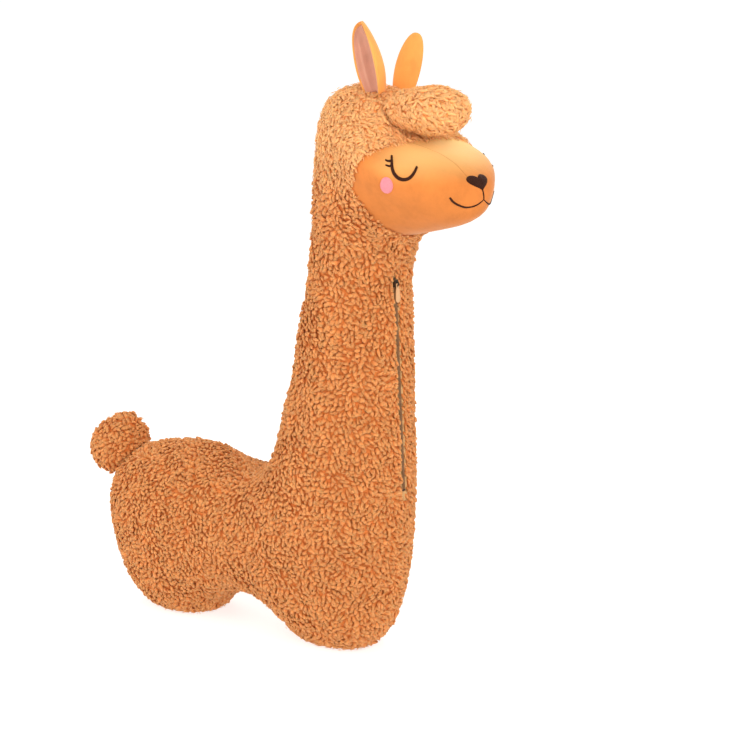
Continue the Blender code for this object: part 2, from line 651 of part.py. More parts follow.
# pull: a teardrop plate that hangs from its cross bar through the bridge
tab = [(-2.9, 0.6), (-2.9, -4.5), (-4.1, -9.5)]
for k in range(9):
    t = math.pi * k / 8
    tab.append((-5.3 * math.cos(t), -PULL_LONG + 5.3 - 5.3 * math.sin(t)))
tab += [(4.1, -9.5), (2.9, -4.5), (2.9, 0.6)]
pull = add("zip_pull", *prism(tab, -0.6, 0.6, 'x'), PULL, 0.55, parent=zip_line, sharp=30)
pull.location = slider.location
eye = guide("guide_pull_eye", *block(-2, 2, -1.35, 1.35, -4.6, -0.6), parent=zip_line)
eye.location = slider.location
bm = bmesh.new()
bm.from_mesh(pull.data)
bmesh.ops.recalc_face_normals(bm, faces=bm.faces)
bm.to_mesh(pull.data)
bm.free()
cut(pull, eye)
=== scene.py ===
import math

import bmesh
import bpy
import numpy as np
from mathutils import Matrix, Vector, noise
from mathutils.bvhtree import BVHTree
from mathutils.geometry import delaunay_2d_cdt


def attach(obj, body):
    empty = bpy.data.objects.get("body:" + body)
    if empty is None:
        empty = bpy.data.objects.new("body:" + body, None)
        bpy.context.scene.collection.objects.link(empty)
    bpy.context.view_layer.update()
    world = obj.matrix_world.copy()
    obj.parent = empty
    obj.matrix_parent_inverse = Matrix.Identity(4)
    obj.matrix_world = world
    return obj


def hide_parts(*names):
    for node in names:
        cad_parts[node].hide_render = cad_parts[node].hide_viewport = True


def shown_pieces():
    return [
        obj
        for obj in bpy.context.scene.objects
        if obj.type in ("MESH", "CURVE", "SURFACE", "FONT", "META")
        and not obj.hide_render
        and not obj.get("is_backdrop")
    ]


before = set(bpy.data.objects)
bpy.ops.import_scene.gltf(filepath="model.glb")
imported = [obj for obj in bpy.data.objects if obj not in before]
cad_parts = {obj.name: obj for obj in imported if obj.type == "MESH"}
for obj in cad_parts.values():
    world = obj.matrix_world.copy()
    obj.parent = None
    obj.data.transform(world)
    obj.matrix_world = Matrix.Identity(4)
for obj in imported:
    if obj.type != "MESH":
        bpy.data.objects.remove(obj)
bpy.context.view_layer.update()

# Lengths are in millimetres in the sewing plane, x forward and z up, as the pattern of the toy is cut.
MM = 0.001
CENTRE = (17.29, -11.83)
NECK_X = 140.0
SEAM_R_LOW, SEAM_R_TOP = 85.0, 79.0
ZIP_LOW, ZIP_TOP = 225.0, 560.0
TURN_LOW, TURN_TOP, TURN_HEAD = (math.radians(v) for v in (0.7, 13.0, 16.5))
TURN_START, TURN_END = 180.0, 650.0
BASE = -5.6             # the knitted ground of the fleece, below the tips of the curls
FACE = -5.0             # the smooth face
TAIL_AT, TAIL_R = (-285.0, 236.0), 46.0
LOCK_AT, LOCK_R = (284.0, 777.0), (46.0, 54.0, 33.0)


# ------------------------------------------------------------------ the turn of the neck
def seam_line(z):
    t = (z - ZIP_LOW) / (ZIP_TOP - ZIP_LOW)
    x = SEAM_R_LOW * math.cos(TURN_LOW) * (1 - t) + SEAM_R_TOP * math.cos(TURN_TOP) * t
    y = SEAM_R_LOW * math.sin(TURN_LOW) * (1 - t) + SEAM_R_TOP * math.sin(TURN_TOP) * t
    return math.atan2(y, x), math.hypot(x, y)


def turn(z):
    if z <= TURN_START:
        return 0.0
    if z >= TURN_END:
        return TURN_HEAD
    if ZIP_LOW <= z <= ZIP_TOP:
        return seam_line(z)[0]

    def ease(u, p0, m0, p1, m1):
        return ((2 * u ** 3 - 3 * u ** 2 + 1) * p0 + (u ** 3 - 2 * u ** 2 + u) * m0
                + (3 * u ** 2 - 2 * u ** 3) * p1 + (u ** 3 - u ** 2) * m1)
    if z < ZIP_LOW:
        w = ZIP_LOW - TURN_START
        return ease((z - TURN_START) / w, 0, 0, TURN_LOW, (seam_line(ZIP_LOW + 1)[0] - TURN_LOW) * w * 0.5)
    w = TURN_END - ZIP_TOP
    return ease((z - ZIP_TOP) / w, TURN_TOP, (TURN_TOP - seam_line(ZIP_TOP - 1)[0]) * w, TURN_HEAD, 0)


TURN_Z = np.arange(-60.0, 960.0, 1.0)
TURN_A = np.array([turn(z) for z in TURN_Z])


def row(P):
    """Sewing frame, mm, to the row frame, metres."""
    P = np.asarray(P, float)
    a = np.interp(P[:, 2], TURN_Z, TURN_A)
    c, s, x, y = np.cos(a), np.sin(a), P[:, 0] - NECK_X, P[:, 1]
    return np.c_[NECK_X + x * c + y * s - CENTRE[0], -x * s + y * c - CENTRE[1], P[:, 2]] * MM


def front(z):
    return (NECK_X + seam_line(z)[1], z)


OUTLINE = [front(z) for z in (562, 500, 440, 380, 320, 275, 228)] + [
    (222, 150), (213, 82), (194, 30), (160, -10), (108, -16), (62, -10),
    (34, 22), (2, 46), (-42, 48), (-76, 24),
    (-108, -10), (-150, -17), (-196, -13), (-240, 24), (-268, 75), (-281, 130),
    (-281, 180), (-266, 222), (-230, 246), (-176, 259), (-120, 260), (-66, 246), (-24, 242),
    (14, 269), (35, 338), (51, 400), (63, 460), (75, 520), (85, 580), (96, 640),
    (104, 700), (96, 752), (106, 788), (152, 806), (200, 804), (232, 795), (250, 774),
    (262, 748), (286, 736), (318, 727), (348, 715), (370, 697), (378, 674),
    (371, 652), (346, 635), (306, 622), (268, 612), (234, 600)]
HOOD_EDGE = [(272, 747), (264.5, 741), (261.5, 736), (259, 729.5), (253, 719.5), (241.5, 705.5), (234.6, 691),
             (231.4, 675), (237, 660.5), (243.5, 644.5), (248.5, 628.6), (251, 617.5), (253, 605)]


def swell(x, z):
    def bump(cx, cz, rx, rz, a):
        return a * np.exp(-((x - cx) / rx) ** 2 - ((z - cz) / rz) ** 2)
    return (1.03 + bump(180, 700, 90, 90, 0.12) + bump(325, 722, 85, 50, 0.95)
            + bump(310, 744, 62, 26, 0.95) + bump(150, 500, 110, 90, 0.06) + bump(-20, 110, 330, 130, -0.16))


# ------------------------------------------------------------------ small tools
def smoothstep(a, b, v):
    t = np.clip((np.asarray(v, float) - a) / (b - a), 0, 1)
    return t * t * (3 - 2 * t)


def unit(v):
    return v / np.maximum(np.linalg.norm(v, axis=-1, keepdims=True), 1e-12)


def noise_at(P, size, seed=0.0):
    """Smooth noise, about -1 to 1, with bumps of that size in mm."""
    k = 1.0 / size
    off = Vector((seed * 17.3, seed * 5.1, seed * 9.7))
    return np.array([noise.noise(Vector(p) * k + off) for p in P])


def curve(points, closed=True, per=16):
    P = np.array(points, float)
    if not closed:
        P = np.vstack([2 * P[0] - P[1], P, 2 * P[-1] - P[-2]])
    n, out = len(P), []
    for i in range(n) if closed else range(1, n - 2):
        p0, p1, p2, p3 = P[i - 1], P[i], P[(i + 1) % n], P[(i + 2) % n]
        a, b, c = (max(np.linalg.norm(v), 1e-9) ** 0.5 for v in (p1 - p0, p2 - p1, p3 - p2))
        m1 = p2 - p1 + b * ((p1 - p0) / a - (p2 - p0) / (a + b))
        m2 = p2 - p1 + b * ((p3 - p2) / c - (p3 - p1) / (b + c))
        for k in range(per):
            u = k / per
            out.append((2 * (p1 - p2) + m1 + m2) * u ** 3 + (3 * (p2 - p1) - 2 * m1 - m2) * u ** 2 + m1 * u + p1)
    if not closed:
        out.append(P[-2])
    return np.array(out)


def spaced(P, step):
    """An open line with even spacing."""
    d = np.r_[0, np.cumsum(np.linalg.norm(np.diff(P, axis=0), axis=1))]
    t = np.linspace(0, d[-1], max(int(round(d[-1] / step)), 3) + 1)
    return np.stack([np.interp(t, d, P[:, k]) for k in range(P.shape[1])], 1)


def graded(P, step_at):
    """A closed line whose spacing follows the place."""
    Q = np.vstack([P, P[:1]])
    seg = np.linalg.norm(np.diff(Q, axis=0), axis=1)
    t = np.r_[0, np.cumsum(seg / step_at((Q[1:] + Q[:-1]) / 2))]
    u = np.linspace(0, t[-1], int(round(t[-1])) + 1)[:-1]
    return np.c_[np.interp(u, t, Q[:, 0]), np.interp(u, t, Q[:, 1])]


def within(poly, pts):
    x, y = pts[:, 0], pts[:, 1]
    res = np.zeros(len(pts), bool)
    for (px, py), (qx, qy) in zip(poly, np.roll(poly, -1, axis=0)):
        if py != qy:
            res ^= ((py > y) != (qy > y)) & (x < px + (y - py) * (qx - px) / (qy - py))
    return res


def clear_of(line, pts, closed=True):
    A = line if closed else line[:-1]
    B = np.roll(line, -1, axis=0) if closed else line[1:]
    D = B - A
    L = np.maximum((D ** 2).sum(1), 1e-18)
    out = np.empty(len(pts))
    for s in range(0, len(pts), 3000):
        p = pts[s:s + 3000]
        t = np.clip(((p[:, None] - A[None]) * D[None]).sum(2) / L, 0, 1)
        out[s:s + 3000] = np.sqrt(((p[:, None] - A[None] - t[..., None] * D[None]) ** 2).sum(2)).min(1)
    return out


def lattice(lo, hi, step):
    rows, z, k = [], lo[1], 0
    while z < hi[1]:
        x = np.arange(lo[0] + (step / 2 if k % 2 else 0), hi[0], step)
        rows.append(np.c_[x, np.full(len(x), z)])
        z += step * math.sqrt(3) / 2
        k += 1
    return np.vstack(rows)


# ------------------------------------------------------------------ the stuffed panel, fine
FACE_AREA = np.vstack([HOOD_EDGE, [(430, 570), (430, 800)]]).astype(float)
EDGE_LINE = curve(HOOD_EDGE, False)


def hood_side(P2):
    """Distance to the hood's edge, positive in the face, negative in the fleece."""
    d = clear_of(EDGE_LINE, P2, False)
    return np.where(within(FACE_AREA, P2), d, -d)


def panel(step=6.0, fine=2.3):
    dense = curve(OUTLINE)

    def step_at(p):
        s = np.full(len(p), step * 0.92)
        s[(p[:, 0] > 180) & (p[:, 1] > ZIP_LOW - 8) & (p[:, 1] < ZIP_TOP + 8)] = 4.0
        s[hood_side(p) > -10] = fine
        return s
    O = graded(dense, step_at)
    n = len(O)
    T0 = unit(np.roll(O, -1, axis=0) - np.roll(O, 1, axis=0))
    N2 = np.c_[-T0[:, 1], T0[:, 0]]
    face = hood_side(O) > -10
    zipped = (O[:, 0] > 180) & (O[:, 1] > ZIP_LOW - 8) & (O[:, 1] < ZIP_TOP + 8) & ~face
    pts = [O]
    for mask, insets in ((face, (0.012, 0.16, 0.7, 1.7)), (zipped, (0.05, 0.2, 0.36, 0.9, 3.0)),
                         (~face & ~zipped, (0.5, 2.6))):
        for inset in insets:
            R = (O - N2 * inset)[mask]
            R = R[within(O, R)]
            pts.append(R[clear_of(O, R) > inset * 0.9])
    G1 = lattice(O.min(0), O.max(0), step)
    G1 = G1[within(O, G1)]
    G1 = G1[(hood_side(G1) < -10) & (clear_of(O, G1) > 0.62 * step + 2.6)]
    G2 = lattice(np.array([205.0, 590.0]), O.max(0), fine)
    G2 = G2[within(O, G2)]
    G2 = G2[(hood_side(G2) > -10 - 0.3 * fine) & (clear_of(O, G2) > 0.6 * fine + 1.7)]
    V = np.vstack(pts + [G1, G2])
    out = delaunay_2d_cdt([Vector(p) for p in V], [(i, (i + 1) % n) for i in range(n)], [], 0, 1e-8)
    W = np.array([(v.x, v.y) for v in out[0]])
    T = np.array([f for f in out[2] if len(f) == 3])
    a, b, c = W[T[:, 0]], W[T[:, 1]], W[T[:, 2]]
    area = (b[:, 0] - a[:, 0]) * (c[:, 1] - a[:, 1]) - (c[:, 0] - a[:, 0]) * (b[:, 1] - a[:, 1])
    T[area < 0] = T[area < 0][:, ::-1]
    T = T[within(O, (a + b + c) / 3) & (np.abs(area) > 1e-7)]

    # membrane held at the seam, by conjugate gradients
    a, b, c = W[T[:, 0]], W[T[:, 1]], W[T[:, 2]]
    A2 = (b[:, 0] - a[:, 0]) * (c[:, 1] - a[:, 1]) - (c[:, 0] - a[:, 0]) * (b[:, 1] - a[:, 1])
    g = np.empty((len(T), 3, 2))
    for k, (p, q) in enumerate(((b, c), (c, a), (a, b))):
        g[:, k, 0] = (p[:, 1] - q[:, 1]) / A2
        g[:, k, 1] = (q[:, 0] - p[:, 0]) / A2
    K = np.einsum('tik,tjk->tij', g, g) * (A2 / 2)[:, None, None]
    rows_, cols_, vals = np.repeat(T, 3, axis=1).ravel(), np.tile(T, (1, 3)).ravel(), K.ravel()
    m = len(W)
    load = np.bincount(T.ravel(), np.repeat(A2 / 6, 3), m)
    diag = np.maximum(np.bincount(T.ravel(), K[:, [0, 1, 2], [0, 1, 2]].ravel(), m), 1e-12)
    free = np.ones(m, bool)
    free[:n] = False
    x, r = np.zeros(m), np.where(free, load, 0)
    z = r / diag
    p, rz, r0 = z.copy(), r @ z, np.linalg.norm(r)
    for _ in range(5000):
        Ap = np.bincount(rows_, vals * p[cols_], m)
        Ap[~free] = 0
        al = rz / (p @ Ap)
        x += al * p
        r -= al * Ap
        if np.linalg.norm(r) < 1e-8 * r0:
            break
        z = r / diag
        rz, old = r @ z, rz
        p = z + rz / old * p
    rise = np.maximum(x, 0)
    q = swell(W[:, 0], W[:, 1]) ** 2 * rise
    half = np.sqrt(2 * q)
    Gt = np.einsum('tk,tkd->td', q[T], g)
    w = np.bincount(T.ravel(), np.repeat(A2, 3), m)
    grad = np.stack([np.bincount(T.ravel(), np.repeat(A2 * Gt[:, k], 3), m) / w for k in (0, 1)], 1)
    N = np.c_[-grad[:, 0], -half, -grad[:, 1]]
    N[:n] = np.c_[N2[:, 0], np.zeros(n), N2[:, 1]]
    return W, T, half, unit(N), n


W, T, HALF, N, NO = panel()
HOOD = hood_side(W)
MIRROR = np.array([1.0, -1.0, 1.0])
print("panel", len(W), len(T))


def skin(off, side):
    """The swollen panel moved off along its normals; side -1 is the toy's right."""
    off = np.broadcast_to(np.asarray(off, float), (len(W),))
    P = np.c_[W[:, 0], -HALF, W[:, 1]] + N * off[:, None]
    P[:NO, 1] = 0
    if side > 0:
        P = P * MIRROR
    return P


def zip_zone(P):
    """1 near the zip's line, 0 elsewhere."""
    return ((P[:, 0] > NECK_X + 45) * smoothstep(ZIP_LOW - 8, ZIP_LOW + 2, P[:, 2])
            * (1 - smoothstep(ZIP_TOP - 6, ZIP_TOP + 6, P[:, 2])))


# ------------------------------------------------------------------ meshes
def mesh(name, V, F, body="plush", smooth=True, sewing=True, data=None, uv=None):
    """V in the sewing frame (or row metres), F an (n,3) or (n,4) array or a list of faces."""
    V = row(V) if sewing else np.asarray(V, float)
    me = bpy.data.meshes.new(name)
    if isinstance(F, np.ndarray):
        k = F.shape[1]
        me.vertices.add(len(V))
        me.vertices.foreach_set("co", V.astype(np.float32).ravel())
        me.loops.add(F.size)
        me.loops.foreach_set("vertex_index", F.astype(np.int32).ravel())
        me.polygons.add(len(F))
        me.polygons.foreach_set("loop_start", np.arange(0, F.size, k, dtype=np.int32))
        me.polygons.foreach_set("loop_total", np.full(len(F), k, np.int32))
        me.update(calc_edges=True)
        me.validate()
    else:
        me.from_pydata([tuple(v) for v in V], [], [tuple(int(i) for i in f) for f in F])
    if smooth:
        me.shade_smooth()
    if data is not None:
        at = me.attributes.new("lock", 'FLOAT_COLOR', 'POINT')
        at.data.foreach_set("color", np.c_[data, np.ones(len(data))].astype(np.float32).ravel())
    if uv is not None:
        layer = me.uv_layers.new(name="along")
        idx = np.empty(len(me.loops), np.int32)
        me.loops.foreach_get("vertex_index", idx)
        layer.data.foreach_set("uv", uv[idx].astype(np.float32).ravel())
    o = bpy.data.objects.new(name, me)
    bpy.context.scene.collection.objects.link(o)
    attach(o, body)
    return o


def shell(F, outer, inner, flip=False):
    """Closed body between two layers over the same triangles."""
    n = len(outer)
    used = np.unique(F)
    new = np.full(n, -1)
    new[used] = np.arange(len(used))
    F = new[F]
    outer, inner, n = outer[used], inner[used], len(used)
    E = np.vstack([F[:, [0, 1]], F[:, [1, 2]], F[:, [2, 0]]])
    key = E[:, 0].astype(np.int64) * n + E[:, 1]
    rev = E[:, 1].astype(np.int64) * n + E[:, 0]
    B = E[~np.isin(key, rev)]
    faces = np.vstack([F, F[:, ::-1] + n,
                       np.c_[B[:, 1], B[:, 0], B[:, 0] + n], np.c_[B[:, 1], B[:, 0] + n, B[:, 1] + n]])
    if flip:
        faces = faces[:, ::-1]
    return np.vstack([outer, inner]), faces, used


# ------------------------------------------------------------------ materials
def nodes(name):
    m = bpy.data.materials.new(name)
    m.use_nodes = True
    t = m.node_tree
    return m, t, t.nodes["Principled BSDF"]


def add(t, kind, **v):
    n = t.nodes.new(kind)
    for k, x in v.items():
        if k in n.inputs.keys():
            n.inputs[k].default_value = x
        else:
            setattr(n, k, x)
    return n


def ramp(t, fac, stops):
    r = t.nodes.new("ShaderNodeValToRGB")
    e = r.color_ramp.elements
    while len(e) < len(stops):
        e.new(0.5)
    for s, (p, c) in zip(e, stops):
        s.position = p
        s.color = (*c, 1)
    t.links.new(fac, r.inputs[0])
    return r.outputs[0]


def scaled(t, vec, s):
    m = t.nodes.new("ShaderNodeMapping")
    m.inputs["Scale"].default_value = s
    t.links.new(vec, m.inputs[0])
    return m.outputs[0]


def texture(t, vec, scale, detail=2.0, rough=0.5):
    n = add(t, "ShaderNodeTexNoise")
    n.inputs["Scale"].default_value = scale
    n.inputs["Detail"].default_value = detail
    n.inputs["Roughness"].default_value = rough
    t.links.new(vec, n.inputs["Vector"])
    return n.outputs[0]


def maths(t, op, a, b=None, clamp=False):
    n = t.nodes.new("ShaderNodeMath")
    n.operation = op
    n.use_clamp = clamp
    for i, v in enumerate((a, b)):
        if v is None:
            continue
        if isinstance(v, (int, float)):
            n.inputs[i].default_value = v
        else:
            t.links.new(v, n.inputs[i])
    return n.outputs[0]


def tint(t, colour, value, sat=None):
    """Colour with its value (and saturation) multiplied by sockets."""
    n = t.nodes.new("ShaderNodeHueSaturation")
    t.links.new(colour, n.inputs["Color"])
    t.links.new(value, n.inputs["Value"])
    if sat is not None:
        t.links.new(sat, n.inputs["Saturation"])
    return n.outputs[0]


def bump(t, b, height, strength, distance):
    n = t.nodes.new("ShaderNodeBump")
    n.inputs["Strength"].default_value = strength
    n.inputs["Distance"].default_value = distance
    t.links.new(height, n.inputs["Height"])
    t.links.new(n.outputs[0], b.inputs["Normal"])
    return n


def sheen(b, weight, rough, colour):
    b.inputs["Sheen Weight"].default_value = weight
    b.inputs["Sheen Roughness"].default_value = rough
    b.inputs["Sheen Tint"].default_value = (*colour, 1)


def fleece_material(name, body, crown, start=0.638, end=0.758):
    """Curly pile: darker at the roots and on the under side of each lock, painted shade of the crevices; lighter at
    the tips; lighter towards the crown, painted light from above.
    """
    m, t, b = nodes(name)
    at = add(t, "ShaderNodeAttribute", attribute_name="lock")
    sep = t.nodes.new("ShaderNodeSeparateColor")
    t.links.new(at.outputs["Color"], sep.inputs[0])
    tone, tip, fuzz = sep.outputs
    obj = t.nodes.new("ShaderNodeTexCoord").outputs["Object"]
    uv = add(t, "ShaderNodeUVMap", uv_map="along").outputs[0]
    strand = texture(t, scaled(t, uv, (0.55, 2.6, 1.0)), 1.6, 3.0, 0.65)
    fine = texture(t, obj, 900.0, 2.0)
    level = maths(t, 'ADD', maths(t, 'MULTIPLY', tip, 0.80), maths(t, 'MULTIPLY', strand, 0.36), True)
    low_part, lit_crown_part = (ramp(t, level, list(zip((0.08, 0.52, 1.0), c))) for c in (body, crown))
    # painted light: by height the pile blends into the lighter crown colours, standing in for the light falling on the
    # top of the head
    split = t.nodes.new("ShaderNodeSeparateXYZ")
    t.links.new(obj, split.inputs[0])
    grade = add(t, "ShaderNodeMapRange", interpolation_type='SMOOTHSTEP')
    grade.inputs["From Min"].default_value = start
    grade.inputs["From Max"].default_value = end
    t.links.new(split.outputs["Z"], grade.inputs["Value"])
    blend = add(t, "ShaderNodeMix", data_type='RGBA')
    t.links.new(grade.outputs["Result"], blend.inputs[0])
    t.links.new(low_part, blend.inputs[6])
    t.links.new(lit_crown_part, blend.inputs[7])
    colour = blend.outputs[2]
    broad = texture(t, obj, 9.0, 3.0)
    value = maths(t, 'ADD', maths(t, 'ADD', maths(t, 'MULTIPLY', tone, 0.18), 0.84), maths(t, 'MULTIPLY', broad, 0.16))
    value = maths(t, 'MULTIPLY', value, maths(t, 'ADD', maths(t, 'MULTIPLY', fine, 0.24), 0.88))
    t.links.new(tint(t, colour, value), b.inputs["Base Color"])
    b.inputs["Roughness"].default_value = 0.88
    b.inputs["Specular IOR Level"].default_value = 0.18
    sheen(b, 0.10, 0.45, (1.0, 0.66, 0.40))
    bump(t, b, maths(t, 'ADD', maths(t, 'MULTIPLY', strand, 0.8), maths(t, 'MULTIPLY', fine, 0.35)), 1.0, 0.0022)
    b.inputs["Subsurface Weight"].default_value = 0.40
    b.inputs["Subsurface Radius"].default_value = (1.0, 0.80, 0.60)
    b.inputs["Subsurface Scale"].default_value = 0.0028
    return m


def velboa_material(name, base, spread=0.10, nap=1.0, forehead=0.0):
    m, t, b = nodes(name)
    obj = t.nodes.new("ShaderNodeTexCoord").outputs["Object"]
    cloud = texture(t, obj, 26.0, 4.0, 0.55)
    streak = texture(t, scaled(t, obj, (1.0, 1.0, 0.45)), 110.0, 3.0, 0.6)
    grain = texture(t, obj, 1500.0, 1.0)
    dark = tuple(c * (1 - spread) ** 1.3 for c in base)
    light = tuple(min(c * (1 + spread), 1.0) for c in base)
    mix = maths(t, 'ADD', maths(t, 'MULTIPLY', cloud, 0.62), maths(t, 'MULTIPLY', streak, 0.38))
    colour = ramp(t, mix, [(0.28, dark), (0.5, base), (0.74, light)])
    value = maths(t, 'ADD', maths(t, 'MULTIPLY', grain, 0.16), 0.92)
    split = t.nodes.new("ShaderNodeSeparateXYZ")
    t.links.new(obj, split.inputs[0])
    high = add(t, "ShaderNodeMapRange", interpolation_type='SMOOTHSTEP')
    high.inputs["From Min"].default_value = 0.620
    high.inputs["From Max"].default_value = 0.755
    t.links.new(split.outputs["Z"], high.inputs["Value"])
    rise = high.outputs["Result"]                    # painted light: the cloth gets lighter towards the top, standing in for the light from above
    value = maths(t, 'MULTIPLY', value, maths(t, 'ADD', maths(t, 'MULTIPLY', rise, 0.20), 0.86))
    # painted light: the top of the forehead is mixed towards light yellow, a painted pool of light where the forelock
    # would shade it
    lit_brow_mask = []
    for axis, start, end in (("X", 0.205, 0.270), ("Z", 0.690, 0.752)):
        q = add(t, "ShaderNodeMapRange", interpolation_type='SMOOTHSTEP')
        q.inputs["From Min"].default_value = start
        q.inputs["From Max"].default_value = end
        t.links.new(split.outputs[axis], q.inputs["Value"])
        lit_brow_mask.append(q.outputs["Result"])
    painted_forehead_light = add(t, "ShaderNodeMix", data_type='RGBA')
    t.links.new(maths(t, 'MULTIPLY', maths(t, 'MULTIPLY', lit_brow_mask[0], lit_brow_mask[1]), forehead), painted_forehead_light.inputs[0])
    t.links.new(colour, painted_forehead_light.inputs[6])
    painted_forehead_light.inputs[7].default_value = (1.0, 0.76, 0.28, 1.0)
    t.links.new(tint(t, painted_forehead_light.outputs[2], value), b.inputs["Base Color"])
    b.inputs["Roughness"].default_value = 0.82
    b.inputs["Specular IOR Level"].default_value = 0.2
    sheen(b, 0.30 * nap, 0.35, (1.0, 0.86, 0.66))
    bump(t, b, maths(t, 'ADD', maths(t, 'MULTIPLY', grain, 0.5), maths(t, 'MULTIPLY', streak, 0.6)), 0.35, 0.0005)
    return m


def thread_material(name, base, light, rough=0.45, pitch=2.4):
    """Satin stitch: fine threads across the stitch's length."""
    m, t, b = nodes(name)
    uv = add(t, "ShaderNodeUVMap", uv_map="along").outputs[0]
    wave = add(t, "ShaderNodeTexWave", wave_type='BANDS', bands_direction='X')
    wave.inputs["Scale"].default_value = pitch
    wave.inputs["Distortion"].default_value = 0.6
    wave.inputs["Detail"].default_value = 2.0
    wave.inputs["Detail Scale"].default_value = 1.5
    t.links.new(uv, wave.inputs["Vector"])
    w = wave.outputs["Fac"]
    obj = t.nodes.new("ShaderNodeTexCoord").outputs["Object"]
    vary = texture(t, obj, 240.0, 2.0)
    colour = ramp(t, maths(t, 'ADD', maths(t, 'MULTIPLY', w, 0.6), maths(t, 'MULTIPLY', vary, 0.4)),
                  [(0.15, base), (0.85, light)])
    t.links.new(colour, b.inputs["Base Color"])
    b.inputs["Roughness"].default_value = rough
    b.inputs["Specular IOR Level"].default_value = 0.15
    sheen(b, 0.03, 0.3, base)
    bump(t, b, w, 0.6, 0.0003)
    return m


def plain_material(name, base, rough, metal=0.0, vary=0.12, grain=900.0, height=0.0002, strength=0.2):
    m, t, b = nodes(name)
    obj = t.nodes.new("ShaderNodeTexCoord").outputs["Object"]
    g = texture(t, obj, grain, 3.0)
    w = texture(t, obj, 160.0, 3.0)
    colour = ramp(t, w, [(0.3, tuple(c * (1 - vary) for c in base)), (0.7, tuple(min(c * (1 + vary), 1) for c in base))])
    t.links.new(colour, b.inputs["Base Color"])
    t.links.new(maths(t, 'ADD', maths(t, 'MULTIPLY', g, 0.16), rough - 0.08), b.inputs["Roughness"])
    b.inputs["Metallic"].default_value = metal
    bump(t, b, g, strength, height)
    return m


def tape_material(name, base):
    m, t, b = nodes(name)
    obj = t.nodes.new("ShaderNodeTexCoord").outputs["Object"]
    weave = texture(t, scaled(t, obj, (1.0, 1.0, 2.2)), 900.0, 1.0)
    wave = add(t, "ShaderNodeTexWave", wave_type='BANDS', bands_direction='Z')
    wave.inputs["Scale"].default_value = 420.0
    t.links.new(obj, wave.inputs["Vector"])
    mix = maths(t, 'ADD', maths(t, 'MULTIPLY', weave, 0.5), maths(t, 'MULTIPLY', wave.outputs["Fac"], 0.5))
    t.links.new(ramp(t, mix, [(0.2, tuple(c * 0.7 for c in base)), (0.8, tuple(min(c * 1.25, 1) for c in base))]),
                b.inputs["Base Color"])
    b.inputs["Roughness"].default_value = 0.8
    bump(t, b, mix, 0.5, 0.0003)
    return m


# the second set of colours is the crown's: lighter, painted light from above
FLEECE = fleece_material("fleece_curls", ((0.66, 0.155, 0.026), (0.65, 0.205, 0.052), (0.72, 0.31, 0.11)),
                         ((1.0, 0.36, 0.085), (0.98, 0.41, 0.135), (1.0, 0.50, 0.21)))
# the face and its seam carry the painted light on the forehead
VELBOA = velboa_material("face_velboa", (0.62, 0.196, 0.041), 0.13, forehead=1.0)
SEAM = velboa_material("face_seam", (0.50, 0.17, 0.036), forehead=0.5)
EAR_TAN = velboa_material("ear_velboa", (0.80, 0.34, 0.085), 0.14)
EAR_MAUVE = velboa_material("ear_lining", (0.56, 0.27, 0.19), 0.14, 1.6)
DARK = thread_material("dark_thread", (0.022, 0.005, 0.002), (0.060, 0.016, 0.006), 0.65)
PINK = thread_material("pink_thread", (0.80, 0.22, 0.27), (0.95, 0.36, 0.42), 0.5)
TAPE = tape_material("zip_tape", (0.60, 0.34, 0.135))
COIL = plain_material("zip_coil", (0.26, 0.13, 0.055), 0.45)
METAL = plain_material("zip_metal", (0.055, 0.038, 0.025), 0.38, 0.7)
PULL = plain_material("zip_pull", (0.60, 0.33, 0.15), 0.5, 0.0, 0.08)


def dress(o, material):
    o.data.materials.clear()
    o.data.materials.append(material)
    return o


# ------------------------------------------------------------------ ground of the fleece
def ground(side):
    """Fleece ground with the slow unevenness of hand stuffing, sunk under the face and at the zip."""
    P = skin(0.0, side)
    uneven = 1.9 * noise_at(P, 62.0, 1) + 0.8 * noise_at(P, 25.0, 2)
    y = np.abs(P[:, 1])
    near = zip_zone(P) * (1 - smoothstep(12, 34, y))
    uneven *= (1 - near) * smoothstep(0, 8, -HOOD)
    off = BASE + uneven
    off -= 4.0 * smoothstep(0, 2.5, HOOD)
    off -= 4.6 * zip_zone(P) * (1 - smoothstep(6.3, 7.6, y)) * (P[:, 2] > ZIP_LOW + 3) * (P[:, 2] < ZIP_TOP - 7)
    off[:NO] -= 0.0
    Q = skin(off, side)
    Q[:, 2] = np.maximum(Q[:, 2], 2.2)
    return Q, off


right, off_r = ground(-1)
left, off_l = ground(1)
left[:NO] = right[:NO] = (left[:NO] + right[:NO]) / 2
n = len(W)
other = np.where(np.arange(n) < NO, np.arange(n), np.arange(n) + n)
F = np.vstack([T, other[T][:, ::-1]])
V = np.vstack([right, left])
used = np.unique(F)
new = np.full(2 * n, -1)
new[used] = np.arange(len(used))
# painted shade: the ground under the curls sits low on the root-to-tip ramp, in the darker root colour, standing in
# for the shade under the pile
low = np.zeros((len(used), 3))
low[:, 0] = 0.5
low[:, 1] = 0.30
ground_uv = np.c_[V[used, 0] * 0.1, V[used, 2] * 0.1]
body = dress(mesh("plush_body", V[used], new[F], data=low, uv=ground_uv), FLEECE)
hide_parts("fleece_cover_left", "fleece_cover_right", "body_filling")


